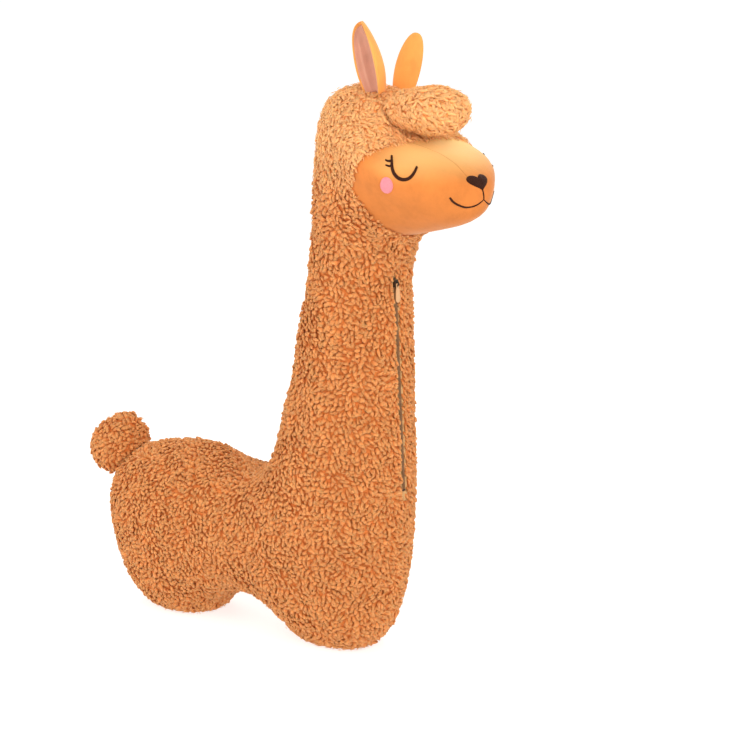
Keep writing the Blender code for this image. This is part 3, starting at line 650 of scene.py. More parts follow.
# ------------------------------------------------------------------ curls
def scatter(tri, nor, spacing, rng, weight=None):
    """Points spread over triangles, none nearer than the spacing; with their normals and triangles."""
    area = np.linalg.norm(np.cross(tri[:, 1] - tri[:, 0], tri[:, 2] - tri[:, 0]), axis=1) / 2
    if weight is not None:
        area = area * weight
    count = int(area.sum() / spacing ** 2 * (7.0))
    t = np.searchsorted(np.cumsum(area), rng.random(count) * area.sum())
    t = np.minimum(t, len(area) - 1)
    u, v = rng.random(count), rng.random(count)
    flip = u + v > 1
    u[flip], v[flip] = 1 - u[flip], 1 - v[flip]
    w = np.stack([1 - u - v, u, v], 1)
    P = (tri[t] * w[..., None]).sum(1)
    Nn = unit((nor[t] * w[..., None]).sum(1))
    cells = np.floor(P / spacing).astype(int)
    grid, keep, r2 = {}, [], spacing ** 2
    around = [(i, j, k) for i in (-1, 0, 1) for j in (-1, 0, 1) for k in (-1, 0, 1)]
    pts = P.tolist()
    for i, (cx, cy, cz) in enumerate(cells.tolist()):
        x, y, z = pts[i]
        ok = True
        for a, b, c in around:
            for q in grid.get((cx + a, cy + b, cz + c), ()):
                if (q[0] - x) ** 2 + (q[1] - y) ** 2 + (q[2] - z) ** 2 < r2:
                    ok = False
                    break
            if not ok:
                break
        if ok:
            grid.setdefault((cx, cy, cz), []).append((x, y, z))
            keep.append(i)
    keep = np.array(keep)
    return P[keep], Nn[keep], t[keep]


SIDES, RINGS = 6, 3


def locks(P, Nn, D, L, wide, tall, curl, lift, rng):
    """Curled locks: rooted low, bent, rising to a blunt tip that covers the next root. One row a lock."""
    m = len(P)
    D = unit(D - Nn * (D * Nn).sum(1, keepdims=True))
    B = np.cross(Nn, D)
    ts = np.array([0.18, 0.56, 0.90])
    prof = np.array([0.74, 1.0, 0.70])
    ph = np.arange(SIDES) * 2 * math.pi / SIDES
    verts = np.empty((m, RINGS * SIDES + 2, 3))
    tip = np.empty((m, RINGS * SIDES + 2))
    uv = np.empty((m, RINGS * SIDES + 2, 2))
    phase = rng.random(m) * 6.28
    seed = rng.random((m, 2)) * 50
    roll = rng.normal(0, 0.35, m)

    def centre(t):
        h = -3.0 + (tall * 0.92 + lift) * math.sin(math.pi / 2 * min(t / 0.9, 1.0)) - 1.0 * max(t - 0.9, 0) / 0.12
        lat = curl * L * (t * t - 0.5 * t)
        wav = 0.10 * wide * np.sin(phase + 6 * t)
        return P + D * (L * (t - 0.5))[:, None] + B * (lat + wav)[:, None] + Nn * h[:, None], h
    for k, t in enumerate(ts):
        c, h = centre(t)
        for j, a in enumerate(ph):
            r = prof[k] * (1 + 0.24 * np.sin(phase * 3 + j * 2.4 + k * 1.7))
            side, up = np.cos(a + 0.4 * k + roll), np.sin(a + 0.4 * k + roll)
            i = k * SIDES + j
            verts[:, i] = c + B * (wide / 2 * r * side)[:, None] + Nn * (tall * 0.34 * r * up)[:, None]
            # painted shade: the level drops towards the root and on the lock's under side, standing in for the shadow
            # in the crevices; it rises to the lighter tip
            tip[:, i] = (h + 3.0) / (tall * 0.95 + lift) * 0.85 + 0.20 * up + 0.10 * t - 0.10
            uv[:, i] = np.stack([seed[:, 0] + t * L * 0.16, seed[:, 1] + (j / SIDES) * wide * 0.30], 1)
    for i, t in ((RINGS * SIDES, 0.0), (RINGS * SIDES + 1, 1.02)):
        c, h = centre(t)
        verts[:, i] = c
        tip[:, i] = 0.0 if t == 0 else 0.95
        uv[:, i] = np.stack([seed[:, 0] + t * L * 0.16, seed[:, 1] + wide * 0.15], 1)
    faces = []
    for k in range(RINGS - 1):
        for j in range(SIDES):
            a, b = k * SIDES + j, k * SIDES + (j + 1) % SIDES
            faces += [(a, b, b + SIDES), (a, b + SIDES, a + SIDES)]
    for j in range(SIDES):
        faces.append((RINGS * SIDES, (j + 1) % SIDES, j))
        e = (RINGS - 1) * SIDES
        faces.append((RINGS * SIDES + 1, e + j, e + (j + 1) % SIDES))
    F = np.array(faces)[None] + (np.arange(m) * (RINGS * SIDES + 2))[:, None, None]
    F = F.reshape(-1, 3)[:, ::-1]
    tone = np.repeat(rng.random(m)[:, None], RINGS * SIDES + 2, 1)
    data = np.stack([tone, np.clip(tip, 0, 1), tone], 2)
    return verts.reshape(-1, 3), F, data.reshape(-1, 3), uv.reshape(-1, 2)


def wisps(P, Nn, D, L, rng, thick=0.42):
    """Thin stray fibres that curl out of the pile."""
    m = len(P)
    D = unit(D - Nn * (D * Nn).sum(1, keepdims=True))
    B = np.cross(Nn, D)
    bend = rng.uniform(-0.55, 0.55, m)
    pts = []
    for t, r in ((0.0, thick), (0.5, thick * 0.8)):
        c = P + D * (L * t * 0.9)[:, None] + Nn * (L * (0.5 * t - 0.5 * t * t))[:, None] + B * (bend * L * t * t)[:, None]
        for a in (0, 2.094, 4.189):
            pts.append(c + (B * math.cos(a) + Nn * math.sin(a)) * r)
    pts.append(P + D * (L * 0.9)[:, None] + B * (bend * L)[:, None] + Nn * (L * 0.04)[:, None])
    V = np.stack(pts, 1)
    f = [(0, 2, 1)]
    for j in range(3):
        a, b = j, (j + 1) % 3
        f += [(a, b, b + 3), (a, b + 3, a + 3)]
    f += [(3, 4, 6), (4, 5, 6), (5, 3, 6)]
    F = (np.array(f)[None] + (np.arange(m) * 7)[:, None, None]).reshape(-1, 3)[:, ::-1]
    data = np.repeat(np.stack([rng.random(m) * 0.6 + 0.4, np.full(m, 0.9), np.full(m, 1.0)], 1), 7, axis=0)
    data[6::7, 1] = 1.0
    uv = np.repeat(rng.random((m, 2)) * 30, 7, axis=0)
    return V.reshape(-1, 3), F, data, uv


def join(parts):
    V, F, D, U, n = [], [], [], [], 0
    for v, f, d, u in parts:
        V.append(v)
        F.append(f + n)
        D.append(d)
        U.append(u)
        n += len(v)
    return np.vstack(V), np.vstack(F), np.vstack(D), np.vstack(U)


def flow(P, Nn, rng, size=36.0, jitter=0.50):
    """Direction of each lock: neighbouring locks lie roughly the same way, more of them downwards."""
    ref = np.where(np.abs(Nn[:, 2:3]) < 0.8, np.array([[0.0, 0.0, 1.0]]), np.array([[1.0, 0.0, 0.0]]))
    e1 = unit(np.cross(ref, Nn))
    e2 = np.cross(Nn, e1)
    a = 3.0 * noise_at(P, size, 5) + rng.normal(0, jitter, len(P)) - 1.3
    return e1 * np.cos(a)[:, None] + e2 * np.sin(a)[:, None]


def coat(points, normals, rng, head):
    """Curls on one patch: short blunt curls on the body, longer and thinner combed ones on the head."""
    m = len(points)
    D = flow(points, normals, rng)
    comb = np.tile(np.array([0.85, 0.0, -0.30]), (m, 1)) + rng.normal(0, 0.55, (m, 3))
    D = unit(D * (1 - 0.75 * head)[:, None] + comb * head[:, None] * 1.2)
    size = np.exp(rng.normal(0, 0.15, m))
    L = (10.8 + 5.0 * head) * size
    wide = (6.9 - 1.2 * head) * np.exp(rng.normal(0, 0.16, m))
    tall = (6.5 - 1.3 * head) * np.exp(rng.normal(0, 0.11, m))
    curl = rng.uniform(-0.8, 0.8, m) * (1 + 0.10 * head)
    lift = rng.uniform(-0.7, 0.9, m)
    return D, L, wide, tall, curl, lift


def in_ball(P, at, r, share):
    q = (P - np.array([at[0], 0, at[1]])) / np.array(r)
    return (q ** 2).sum(1) < share ** 2


SPACING, SPACING_HEAD = ((5.0, 4.05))
for side, base_pts in ((-1, right), (1, left)):
    rng = np.random.default_rng(11 + side)
    nor = N if side < 0 else N * MIRROR
    tris = T if side < 0 else T[:, ::-1]
    tri, tn = base_pts[tris], nor[tris]
    cloth = HOOD[tris].mean(1) < 1.0
    high = tri[:, :, 2].mean(1) > 690
    found = [scatter(tri[cloth & (high == h)], tn[cloth & (high == h)], sp, rng)[:2]
             for h, sp in ((False, SPACING), (True, SPACING_HEAD))]
    P, Nn = (np.vstack([f[k] for f in found]) for k in (0, 1))
    z, y = P[:, 2], np.abs(P[:, 1])
    slit_edge = 5.2 + 1.0 * np.sin(z * 0.31 + 0.4 * side) + 0.8 * np.sin(z * 0.83 + side)
    for at, most in ((31.5, 8.6), (317.5, 6.6)):     # room for the slider at both ends of its travel
        slit_edge = np.maximum(slit_edge, most * np.exp(-((z - ZIP_LOW - at) / 17.0) ** 2))
    slot_zone = (zip_zone(P) > 0.5) & (y < slit_edge) & (z > ZIP_LOW + 2.5) & (z < ZIP_TOP - 5.5)
    hidden = in_ball(P, LOCK_AT, LOCK_R, 0.80) | in_ball(P, TAIL_AT, (TAIL_R,) * 3, 0.84)
    keep = ~slot_zone & ~hidden
    P, Nn = P[keep], Nn[keep]
    z, y = P[:, 2], np.abs(P[:, 1])
    head = smoothstep(660, 720, z)
    D, L, wide, tall, curl, lift = coat(P, Nn, rng, head)
    # along the slit of the zip the curls lie along it
    slit = (zip_zone(P) > 0.2) & (y < 11.5)
    D[slit] = unit(np.tile([0.0, 0.0, -1.0], (slit.sum(), 1)) + rng.normal(0, 0.20, (slit.sum(), 3)))
    curl[slit] *= 0.25
    wide[slit] *= 0.80
    # at the hood's edge they lean over the face
    edge = hood_side(P[:, [0, 2]])
    rim = edge > -7
    toward = np.zeros((len(P), 3))
    near = EDGE_LINE[np.argmin(((P[:, None, [0, 2]] - EDGE_LINE[None, ::4]) ** 2).sum(2), axis=1) * 4]
    toward[:, [0, 2]] = near - P[:, [0, 2]] + np.array([4.0, -1.0])
    D[rim] = unit(unit(toward[rim]) * 1.0 + unit(rng.normal(0, 1, (rim.sum(), 3))) * 0.75)
    L[rim] *= 0.85
    lift[rim] += 0.4
    # flattened where the toy sits
    sole = smoothstep(16, 3, z)
    tall = tall * (1 - 0.45 * sole)
    zone = np.where(z > 690, 4, np.where(z > 470, 3, np.where(z > 260, 2, np.where(P[:, 0] > -20, 1, 0))))
    for k, word in enumerate(("rump", "chest", "neck", "throat", "head")):
        s = zone == k
        items = [locks(P[s], Nn[s], D[s], L[s], wide[s], tall[s], curl[s], lift[s], rng)]
        for count in range(2):
            w = s & (rng.random(len(P)) < 0.58 + 0.1 * head)
            top = P[w] + Nn[w] * (tall[w] * 0.42)[:, None] + rng.normal(0, 1.1, (w.sum(), 3))
            items.append(wisps(top, Nn[w], D[w] + rng.normal(0, 0.28, (w.sum(), 3)),
                               rng.uniform(4.5, 8.0, w.sum()) * (1 + 0.5 * head[w]), rng, 0.55))
        v, f, d, u = join(items)
        v[:, 2] = np.maximum(v[:, 2], 0.3 + 0.6 * d[:, 0])
        word2 = "right" if side < 0 else "left"
        o = dress(mesh("curls_%s_%s" % (word, word2), v, f, data=d, uv=u),
                  FLEECE)
        print(o.name, len(f), "triangles", s.sum(), "locks")


# ------------------------------------------------------------------ tail and forelock
def pad(word, centre, radii, shape, spacing, material, seed, head=0.0, comb=None):
    bm = bmesh.new()
    bmesh.ops.create_icosphere(bm, subdivisions=5, radius=1.0)
    U = np.array([tuple(v.co) for v in bm.verts])
    F = np.array([[v.index for v in f.verts] for f in bm.faces])
    bm.free()
    C = np.array([centre[0], 0.0, centre[1]])
    R = np.array(radii)
    V = shape(U) * (R + BASE) + C
    fn = np.cross(V[F[:, 1]] - V[F[:, 0]], V[F[:, 2]] - V[F[:, 0]])
    vn = unit(np.stack([np.bincount(F.ravel(), np.repeat(fn[:, k], 3), len(V)) for k in range(3)], 1))
    # painted shade: the base under the curls sits low on the root-to-tip ramp, darker as the shade under the pile
    data = np.tile([0.5, 0.2, 0.5], (len(V), 1))
    o = dress(mesh(word, V, F, data=data, uv=V[:, [0, 2]] * 0.1), material)
    rng = np.random.default_rng(seed)
    P, Nn, _ = scatter(V[F], vn[F], spacing, rng)
    deep = envelope_depth(P)
    P, Nn = P[deep < 2.0], Nn[deep < 2.0]
    m = len(P)
    D, L, wide, tall, curl, lift = coat(P, Nn, rng, np.full(m, head))
    if comb is not None:
        D = unit(comb(P, Nn) + rng.normal(0, 0.4, (m, 3)))
    v, f, d, u = locks(P, Nn, D, L, wide, tall, curl, lift, rng)
    items = [(v, f, d, u)]
    for count in range(2):
        w = rng.random(m) < 0.58 + 0.1 * head
        top = P[w] + Nn[w] * (tall[w] * 0.42)[:, None] + rng.normal(0, 1.1, (w.sum(), 3))
        items.append(wisps(top, Nn[w], D[w] + rng.normal(0, 0.28, (w.sum(), 3)),
                           rng.uniform(4.5, 8.0, w.sum()) * (1 + 0.5 * head), rng, 0.55))
    v, f, d, u = join(items)
    curls = dress(mesh(word + "_curls", v, f, data=d, uv=u), material)
    print(curls.name, len(f), "triangles", m, "locks")
    return o


body_tree = BVHTree.FromPolygons([Vector(p) for p in V], [tuple(int(i) for i in f) for f in F])


def envelope_depth(P):
    """How deep points lie under the body's ground, mm; negative outside."""
    out = []
    for p in P:
        loc, nrm, _, dist = body_tree.find_nearest(Vector(p))
        out.append(dist if (Vector(p) - loc).dot(nrm) < 0 else -dist)
    return np.array(out)


def tail_shape(U):
    s = 1 + 0.05 * noise_at(U, 0.7, 3)
    return U * s[:, None]


def forelock_shape(U):
    """A roll across the forehead that runs into the hood, with a cleft and a small lobe at its left end."""
    s = 1 + 0.06 * noise_at(U, 0.6, 7)
    d = unit(np.array([0.86, 0.26, -0.43]))
    s -= 0.17 * np.exp(-(np.arccos(np.clip(U @ d, -1, 1)) / 0.17) ** 2)
    e = unit(np.array([0.60, 0.04, -0.80]))
    s += 0.05 * np.exp(-(np.arccos(np.clip(U @ e, -1, 1)) / 0.35) ** 2)
    back, deep = np.array([-0.67, -0.74, 0.0]), np.array([-0.74, 0.67, 0.0])
    side = U @ back
    V = U * s[:, None] + back * (np.maximum(side, 0) ** 2 * 0.34)[:, None]
    V += deep * (0.46 * smoothstep(0.15, 1.0, side))[:, None]
    V[:, 2] -= 0.12 * smoothstep(0.35, 0.9, -side) * np.maximum(-U[:, 2], 0)
    return V


tail = pad("tail", TAIL_AT, (TAIL_R,) * 3, tail_shape, SPACING * 0.98, FLEECE, 31)
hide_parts("tail_cover", "tail_filling")
lock = pad("forelock", LOCK_AT, LOCK_R, forelock_shape, SPACING_HEAD, FLEECE, 41, head=0.75,
           comb=lambda P, Nn: np.tile([0.60, 0.50, -0.45], (len(P), 1)))
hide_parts("forelock_cover", "forelock_filling")

# ------------------------------------------------------------------ face
def face_layer(side, off):
    o = np.full(len(W), off)
    o -= 4.2 * smoothstep(0.5, -8.0, HOOD)
    P = skin(o, side)
    return P


in_face = HOOD[T].max(1) > -8.5
parts, F_all, count = [], [], 0
outer = {}
for side in (-1, 1):
    P = face_layer(side, FACE)
    soft = 0.55 * noise_at(P, 30.0, 8) + 0.25 * noise_at(P, 12.0, 9)
    pull_in = smoothstep(0, 6, np.abs(P[:, 1]))
    P = P + (N if side < 0 else N * MIRROR) * (soft * pull_in)[:, None]
    outer[side] = P
# one skin: both halves meet in the middle seam, which is drawn in by its thread
groove = np.zeros(len(W))
groove[:NO] = 0.12
merged = np.vstack([outer[-1] - N * groove[:, None], outer[1] - (N * MIRROR) * groove[:, None]])
TF = T[in_face]
FF = np.vstack([TF, other[TF][:, ::-1]])
inner_pts = np.vstack([face_layer(-1, FACE - 2.6), face_layer(1, FACE - 2.6)])
merged[:NO, 1] = 0
inner_pts[:NO, 1] = 0
v, f, used_f = shell(FF, merged, inner_pts)
face = dress(mesh("face", v, f), VELBOA)
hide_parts("face_panel_left", "face_panel_right")
print("face", len(f))

face_tree = {}
for side in (-1, 1):
    tr = [tuple(int(i) for i in (t if side < 0 else t[::-1])) for t in TF]
    face_tree[side] = (outer[side], tr, BVHTree.FromPolygons([Vector(p) for p in outer[side]], tr))


def on_face(origin, direction, side):
    P, tr, tree = face_tree[side]
    hit = tree.ray_cast(Vector(origin), Vector(direction))
    if hit[0] is None:
        hit = tree.find_nearest(Vector(origin) + Vector(direction) * 120)
    t = tr[hit[2]]
    a, b, c = (P[i] for i in t)
    p = np.array(hit[0])
    v0, v1, v2 = b - a, c - a, p - a
    d00, d01, d11, d20, d21 = v0 @ v0, v0 @ v1, v1 @ v1, v2 @ v0, v2 @ v1
    det = d00 * d11 - d01 * d01
    u, w = (d11 * d20 - d01 * d21) / det, (d00 * d21 - d01 * d20) / det
    flip = np.array([1, -side, 1])
    nn = (N[t[0]] * (1 - u - w) + N[t[1]] * u + N[t[2]] * w) * flip
    return p, nn / np.linalg.norm(nn)


def oblique(side):
    """Places a drawing on the cheek along the line that looks straight at the eye."""
    c = (0.76, side * 0.65)
    return lambda u, z: on_face((u * 0.65 + c[0] * 500, -side * u * 0.76 + c[1] * 500, z), (-c[0], -c[1], 0), side)


def from_front(y, z):
    return on_face((500.0, y, z), (-1, 0, 0), -1 if y < 0 else 1)


# ------------------------------------------------------------------ embroidery
def satin(points, place, width, step=0.55, high=1.25, across=9, base=0.15):
    """A rounded line of stitches laid on the face; returns closed mesh parts."""
    P = spaced(curve(points, False, 24), step)
    D = unit(np.gradient(P, axis=0))
    S = np.c_[-D[:, 1], D[:, 0]]
    s = np.linspace(0, 1, len(P))
    h = width(s) / 2
    js = np.cos(np.linspace(math.pi, 0, across))
    top, low, uv = [], [], []
    for i in range(len(P)):
        ripple = 0.07 * math.sin(i * 2.2) + 0.05 * math.sin(i * 3.7 + 1)
        for j in js:
            q = P[i] + S[i] * (h[i] * j * (1 + 0.05 * math.sin(i * 2.9)))
            p, nn = place(*q)
            rise = base + high * math.sqrt(max(1 - j * j, 0.0)) * min(h[i] / 1.2, 1.0) * (1 + ripple)
            top.append(p + nn * rise)
            low.append(p - nn * 0.5)
            uv.append((i * step * 0.5, j * 0.2))
    return grid_shell(np.array(top), np.array(low), len(P), across, np.array(uv))


def grid_shell(top, low, rows_n, cols_n, uv):
    quads = []
    for i in range(rows_n - 1):
        for j in range(cols_n - 1):
            a = i * cols_n + j
            quads += [(a, a + 1, a + cols_n + 1), (a, a + cols_n + 1, a + cols_n)]
    F = np.array(quads)
    v, f, used_ = shell(F, top, low)
    # outward: the top's own normals must agree with top - low
    fn = np.cross(v[f[0][1]] - v[f[0][0]], v[f[0][2]] - v[f[0][0]])
    if fn @ (top[0] - low[0]) < 0:
        f = f[:, ::-1]
    return v, f, np.vstack([uv[used_], uv[used_]])


def merge(parts):
    V, F, U, n = [], [], [], 0
    for v, f, u in parts:
        V.append(v)
        F.append(f + n)
        U.append(u)
        n += len(v)
    return np.vstack(V), np.vstack(F), np.vstack(U)


EYE = [(128.9, 725.2), (128.2, 720.4), (127.8, 715.6), (128.3, 710.8), (130.6, 705.9), (134.9, 701.7), (140.2, 699.8),
       (145.6, 700.4), (150.4, 703.2), (154.6, 708.0), (158.6, 714.0)]
LASHES = [(127.6, 720.4), (123.5, 720.2), (120.2, 721.4)], [(127.6, 715.3), (123.6, 715.0), (120.0, 716.2)]
SHIFT = {-1: (0.0, 0.0), 1: (-13.0, -11.0)}            # the left eye and cheek sit a little further back and lower
EYE_AT = {}
for side, word in ((-1, "right"), (1, "left")):
    def full(s):
        return 4.3 * (0.50 + 0.50 * np.sin(math.pi * np.clip(s * 0.94 + 0.03, 0, 1)) ** 0.8)
    du, dz = SHIFT[side]
    parts = [satin([(u + du, z + dz) for u, z in EYE], oblique(side), full, base=0.45)]
    for lash in LASHES:
        parts.append(satin([(u + du, z + dz) for u, z in lash], oblique(side), lambda s: 2.3 - 0.7 * s, high=0.95, across=7, base=0.40))
    v, f, u = merge(parts)
    o = dress(mesh("eye_stitch_" + word, v, f, uv=u), DARK)
    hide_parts("eye_" + word)

    # cheek: an ellipse of satin stitch with a raised rim
    place = oblique(side)
    rings, spokes = 9, 44
    top, low, uv = [], [], []
    for k in range(rings + 1):
        r = k / rings
        for j in range(spokes):
            a = 2 * math.pi * j / spokes
            x = 121.2 + du + r * (7.6 * math.cos(a) - 1.25 * math.sin(a))
            z = 691.0 + dz + r * (0.7 * math.cos(a) + 11.2 * math.sin(a))
            p, nn = place(x, z)
            rim = math.exp(-((r - 0.90) / 0.085) ** 2)
            rise = (1.0 + 0.55 * rim) * math.sqrt(max(1 - r ** 10, 0.0)) + 0.06 * math.sin(x * 5.0) * (1 - rim) + 0.1
            top.append(p + nn * rise)
            low.append(p - nn * 0.5)
            uv.append((x * 0.9, z * 0.1))
    F = []
    for k in range(rings):
        for j in range(spokes):
            a, b = k * spokes + j, k * spokes + (j + 1) % spokes
            F += [(a, b, b + spokes), (a, b + spokes, a + spokes)] if k else [(0, b + spokes, a + spokes)]
    F = np.array(F)
    F[F < spokes] = 0
    keep = (F[:, 0] != F[:, 1]) & (F[:, 1] != F[:, 2]) & (F[:, 0] != F[:, 2])
    v, f, used_c = shell(F[keep], np.array(top), np.array(low))
    fn = np.cross(v[f[5][1]] - v[f[5][0]], v[f[5][2]] - v[f[5][0]])
    if fn @ (np.array(top)[spokes] - np.array(low)[spokes]) < 0:
        f = f[:, ::-1]
    uvc = np.array(uv)[used_c]
    o = dress(mesh("cheek_stitch_" + word, v, f, uv=np.vstack([uvc, uvc])), PINK)
    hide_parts("cheek_" + word)

# seam of the face, from the hood to the nose, a little off the middle
SEAM_LINE = [(260, -33), (269.5, -21.6), (281, -14), (296.6, -10), (330, -12), (354, -15), (358.5, -14.5)]
v, f, u = satin(SEAM_LINE, lambda x, y: on_face((x, y, 900.0), (0, 0, -1), -1), lambda s: 1.1 + 0 * s, step=1.2, high=0.30, across=5)
dress(mesh("face_seam", v, f, uv=u), SEAM)

# nose: a heart of satin stitch
rings, spokes = 12, 84
top, low, uv = [], [], []
for k in range(rings + 1):
    r = k / rings
    for j in range(spokes):
        a = 2 * math.pi * j / spokes
        hx = 16 * math.sin(a) ** 3 * 19 / 16
        hz = (13 * math.cos(a) - 5 * math.cos(2 * a) - 2 * math.cos(3 * a) - math.cos(4 * a)) * 9.5 / 14.5
        y, z = r * hx, 694.3 + r * (hz - 1.0) + 1.0
        p, nn = from_front(y if abs(y) > 0.02 else 0.02, z)
        rise = 1.5 * math.sqrt(max(1 - r ** 6, 0.0)) + 0.07 * math.sin(y * 6.0) + 0.15
        rise -= 0.35 * math.exp(-((r - 0.86) / 0.05) ** 2)
        top.append(p + nn * rise)
        low.append(p - nn * 0.5)
        uv.append((y * 0.9, z * 0.1))
F = []
for k in range(rings):
    for j in range(spokes):
        a, b = k * spokes + j, k * spokes + (j + 1) % spokes
        F += [(a, b, b + spokes), (a, b + spokes, a + spokes)] if k else [(0, b + spokes, a + spokes)]
F = np.array(F)
F[F < spokes] = 0
keep = (F[:, 0] != F[:, 1]) & (F[:, 1] != F[:, 2]) & (F[:, 0] != F[:, 2])
v, f, used_n = shell(F[keep], np.array(top), np.array(low))
fn = np.cross(v[f[5][1]] - v[f[5][0]], v[f[5][2]] - v[f[5][0]])
if fn @ (np.array(top)[spokes] - np.array(low)[spokes]) < 0:
    f = f[:, ::-1]
uvn = np.array(uv)[used_n]
nose = dress(mesh("nose_stitch", v, f, uv=np.vstack([uvn, uvn])), DARK)
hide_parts("nose")

SMILE = [(-41, 677.5), (-37, 672.2), (-30.7, 667.6), (-22.2, 664.4), (-13.4, 665.5), (-6, 668.8), (-0.3, 672.6)]
parts = []
for s in (1, -1):
    line = [(y * s, z) for y, z in SMILE]
    parts.append(satin(line, from_front, lambda s: 2.1 * (0.5 + 0.5 * np.sin(math.pi * np.clip(s * 0.8 + 0.2, 0, 1)) ** 0.6), high=1.05, across=7))
parts.append(satin([(0.12, 672.3), (0.12, 677), (0.12, 685.4)], lambda y, z: from_front(y if abs(y) > 0.02 else 0.02, z),
                   lambda s: 2.0 + 0 * s, high=1.0, across=7))
v, f, u = merge(parts)
mouth = dress(mesh("mouth_stitch", v, f, uv=u), DARK)
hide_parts("mouth")


# ------------------------------------------------------------------ ears
def leaf(t):
    """Half width along an ear: a narrower base and a round tip."""
    return math.sqrt(max(1 - ((t - 0.5) / 0.5) ** 2, 0.0)) if t > 0.5 else 0.64 + 0.36 * math.sin(math.pi * t)


def ear(word, base, tip, opening, wide, roll_low, roll_tip, bow):
    base, tip = np.array(base, float), np.array(tip, float)
    up = tip - base
    long = np.linalg.norm(up)
    up /= long
    out = np.array(opening, float)
    out -= up * (out @ up)
    out /= np.linalg.norm(out)
    across = np.cross(up, out)
    bow = np.array(bow)
    rows_n, cols_n = 34, 32
    fold = -0.66 if word == "right" else 0.0          # raised fold of the lining, off the middle on the right ear

    def sheet(size, off, crease):
        P = []
        for j in range(rows_n + 1):
            t = 1 - (1 - j / rows_n) ** 1.6
            half = wide * size * leaf(t)
            roll = math.radians(roll_low + (roll_tip - roll_low) * t)
            r = half / math.sin(roll)
            along = long * (t if size == 1 else 0.02 + t * 0.93)
            for i in range(cols_n + 1):
                s = 2 * i / cols_n - 1
                a = roll * s
                rr = max(r - off, 0.05)
                dent = crease * math.exp(-((s - fold) / 0.085) ** 2) * math.sin(math.pi * min(t * 1.1, 1))
                ruffle = 0.9 * math.sin(5.2 * t + 2.3 * s + (1 if word == "left" else 3)) * t * (1 - t) * 2
                P.append(base + up * along + across * (rr * math.sin(a)) + bow * (4 * t * (1 - t)) + out * (r - rr * math.cos(a) - dent + ruffle))
        return np.array(P)

    for part, size, lo, hi, mat, slot_name in (("outer", 1, -2.0, 0.2, EAR_TAN, "velboa"), ("lining", 0.93, 0.1, 1.8, EAR_MAUVE, "ear_lining")):
        cr = -3.8 if part == "lining" else 0.0
        A, B = sheet(size, lo, cr * 0.4), sheet(size, hi, cr)
        tris = []
        w = cols_n + 1
        for j in range(rows_n):
            for i in range(cols_n):
                a, b, c, d = j * w + i, j * w + i + 1, (j + 1) * w + i + 1, (j + 1) * w + i
                tris += [(a, b, c), (a, c, d)]
        v, f, _ = shell(np.array(tris), A, B)
        o = mesh("ear_%s_%s_cloth" % (word, part), v, f)
        bm = bmesh.new()
        bm.from_mesh(o.data)
        bmesh.ops.recalc_face_normals(bm, faces=bm.faces)
        bm.to_mesh(o.data)
        bm.free()
        dress(o, mat)
        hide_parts("ear_%s_%s" % (word, part))


ear("right", (212, -18, 797), (190, -36, 886), (-0.35, -0.94, 0.0), 30.5, 80.0, 58.0, (5.2, 5.8, 0.0))
ear("left", (199, 26, 780), (219, 38, 870), (-0.50, 0.86, 0.0), 15.8, 62.0, 36.0, (-2.0, -1.0, 0.0))

# ------------------------------------------------------------------ zip
LOW = np.array([NECK_X + SEAM_R_LOW * math.cos(TURN_LOW), -SEAM_R_LOW * math.sin(TURN_LOW), ZIP_LOW])
TOP = np.array([NECK_X + SEAM_R_TOP * math.cos(TURN_TOP), -SEAM_R_TOP * math.sin(TURN_TOP), ZIP_TOP])
LINE = float(np.linalg.norm(TOP - LOW))
ALONG = (TOP - LOW) / LINE
mid = (TURN_LOW + TURN_TOP) / 2
OUT = np.array([math.cos(mid), -math.sin(mid), 0.0])
OUT -= ALONG * (OUT @ ALONG)
OUT /= np.linalg.norm(OUT)
ACROSS = np.cross(ALONG, OUT)


def on_zip(P):
    """(out, across, along) in mm to the row frame in metres."""
    P = np.asarray(P, float)
    Q = LOW + P[:, :1] * OUT + P[:, 1:2] * ACROSS + P[:, 2:] * ALONG
    return (Q - np.array([CENTRE[0], CENTRE[1], 0])) * MM


def tube(path, radius, around=6):
    path = np.array(path, float)
    D = unit(np.gradient(path, axis=0))
    ref = np.array([0.0, 0.0, 1.0])
    S = unit(np.cross(D, ref))
    U = np.cross(S, D)
    V, F = [], []
    for i, p in enumerate(path):
        for j in range(around):
            a = 2 * math.pi * j / around
            V.append(p + (S[i] * math.cos(a) + U[i] * math.sin(a)) * radius)
    m = len(path)
    for i in range(m - 1):
        for j in range(around):
            a, b = i * around + j, i * around + (j + 1) % around
            F += [(a, b, b + around), (a, b + around, a + around)]
    for j in range(1, around - 1):
        F += [(0, j + 1, j), ((m - 1) * around, (m - 1) * around + j, (m - 1) * around + j + 1)]
    return np.array(V), np.array(F)


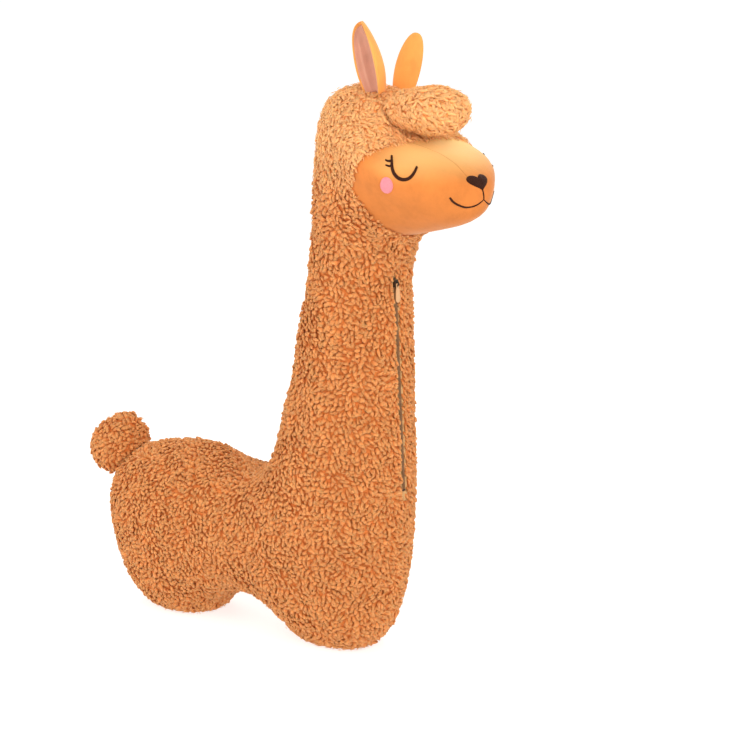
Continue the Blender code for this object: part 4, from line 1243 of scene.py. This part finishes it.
COIL_LOW, COIL_TOP = 23.3, LINE - 6.0 - 7.0
for side, word in ((-1, "right"), (1, "left")):
    tooth = np.array([(-7.0, 2.9, 0.0), (-5.7, 2.7, 0.1), (-5.0, 1.6, 0.15), (-5.0, 0.3, 0.0), (-5.6, -0.35, -0.1), (-6.5, 0.5, -0.2)])
    tooth[:, 1] *= side
    Vt, Ft = tube(tooth, 0.42, 5)
    zs = np.arange(COIL_LOW + 0.5 + (0.75 if side > 0 else 0), COIL_TOP - 0.4, 1.5)
    Vall = (Vt[None] + np.stack([np.zeros(len(zs)), np.zeros(len(zs)), zs], 1)[:, None]).reshape(-1, 3)
    Fall = (Ft[None] + (np.arange(len(zs)) * len(Vt))[:, None, None]).reshape(-1, 3)
    o = dress(mesh("zip_teeth_" + word, on_zip(Vall), Fall, sewing=False), COIL)
    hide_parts("zip_coil_" + word)
    # tape: thin woven strip with a beaded edge, a little wavy
    zs = np.linspace(3.3, LINE - 6.3, 160)
    cols = np.array([0.15, 1.5, 3.0, 4.5, 6.0, 7.4])
    top = np.array([(-7.35 + 0.25 * math.sin(z * 0.9) * (c / 6) + (0.12 if c == 3.0 else 0) + (1.5 * ((c - 6) / 1.4) if c > 6 else 0), side * c, z) for z in zs for c in cols])
    low_ = top - np.array([0.8, 0, 0])
    v, f, _u = grid_shell(top, low_, len(zs), len(cols), np.zeros((len(top), 2)))
    o = mesh("zip_cloth_" + word, on_zip(v), f, sewing=False, smooth=False)
    dress(o, TAPE)
    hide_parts("zip_tape_" + word)

for name, material, slot_name in (("zip_slider", METAL, "zip_metal"), ("zip_pull", PULL, "zip_pull"),
                                  ("zip_top_stop", METAL, "zip_metal"), ("zip_bottom_stop", METAL, "zip_metal")):
    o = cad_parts[name]
    o.data.materials.clear()
    o.data.materials.append(material)
    w = o.modifiers.new("weld", 'WELD')
    w.merge_threshold = 0.00001
    bv = o.modifiers.new("rounded", 'BEVEL')
    bv.width = 0.00028
    bv.segments = 3
    bv.limit_method = 'ANGLE'
    bv.angle_limit = math.radians(40)

# ------------------------------------------------------------------ stage, light, camera
floor_me = bpy.data.meshes.new("floor")
R = 46.0
floor_me.from_pydata([(-R, -R, -0.0005), (R, -R, -0.0005), (R, R, -0.0005), (-R, R, -0.0005)], [], [(0, 1, 2, 3)])
floor = bpy.data.objects.new("floor", floor_me)
bpy.context.scene.collection.objects.link(floor)
m, t, b = nodes("floor_paper")
obj = t.nodes.new("ShaderNodeTexCoord").outputs["Object"]
t.links.new(ramp(t, texture(t, obj, 3.0, 2.0), [(0.3, (0.44, 0.437, 0.432)), (0.7, (0.46, 0.457, 0.452))]), b.inputs["Base Color"])
b.inputs["Roughness"].default_value = 0.9
b.inputs["Emission Color"].default_value = (1.0, 0.995, 0.985, 1)
b.inputs["Emission Strength"].default_value = 0.74
floor_me.materials.append(m)
floor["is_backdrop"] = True

world = bpy.data.worlds.new("room")
bpy.context.scene.world = world
world.use_nodes = True
bg = world.node_tree.nodes["Background"]
bg.inputs[0].default_value = (1.0, 0.985, 0.965, 1)
bg.inputs[1].default_value = 0.62


def area(name, at, to, size, power, colour):
    L = bpy.data.lights.new(name, 'AREA')
    L.shape = 'DISK'
    L.size = size
    L.energy = power
    L.color = colour
    o = bpy.data.objects.new(name, L)
    bpy.context.scene.collection.objects.link(o)
    o.location = at
    o.rotation_euler = (Vector(to) - Vector(at)).to_track_quat('-Z', 'Y').to_euler()
    return o


area("key", (1.8, -1.6, 2.1), (0.05, 0, 0.5), 2.2, 39, (1.0, 0.94, 0.84))
area("front", (2.3, -1.4, 1.0), (0.2, -0.05, 0.72), 1.3, 20, (1.0, 0.95, 0.86))
area("fill", (-1.9, -1.9, 1.3), (0, 0, 0.4), 2.2, 40, (1.0, 0.95, 0.88))
area("back", (-0.8, 2.0, 2.0), (0, 0, 0.5), 1.6, 40, (1.0, 0.96, 0.9))

cam = bpy.data.cameras.new("camera")
cam.sensor_fit = 'HORIZONTAL'
cam.sensor_width = 36.0
cam.lens = 36.0 * 1580.0 / 743.0
cam.clip_start, cam.clip_end = 0.05, 150.0
eye = bpy.data.objects.new("camera", cam)
bpy.context.scene.collection.objects.link(eye)
eye.location = ((1198.206 - CENTRE[0]) * MM, (-1845.075 - CENTRE[1]) * MM, 0.970)
h, p = math.radians(119.224), math.radians(-14.813)
look = Vector((math.cos(h) * math.cos(p), math.sin(h) * math.cos(p), math.sin(p)))
eye.rotation_euler = look.to_track_quat('-Z', 'Y').to_euler()
bpy.context.scene.camera = eye
bpy.context.scene.view_settings.view_transform = 'Standard'

total = 0
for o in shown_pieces():
    if o.type == 'MESH':
        k = sum(len(q.vertices) - 2 for q in o.data.polygons)
        total += k
print("triangles", total)
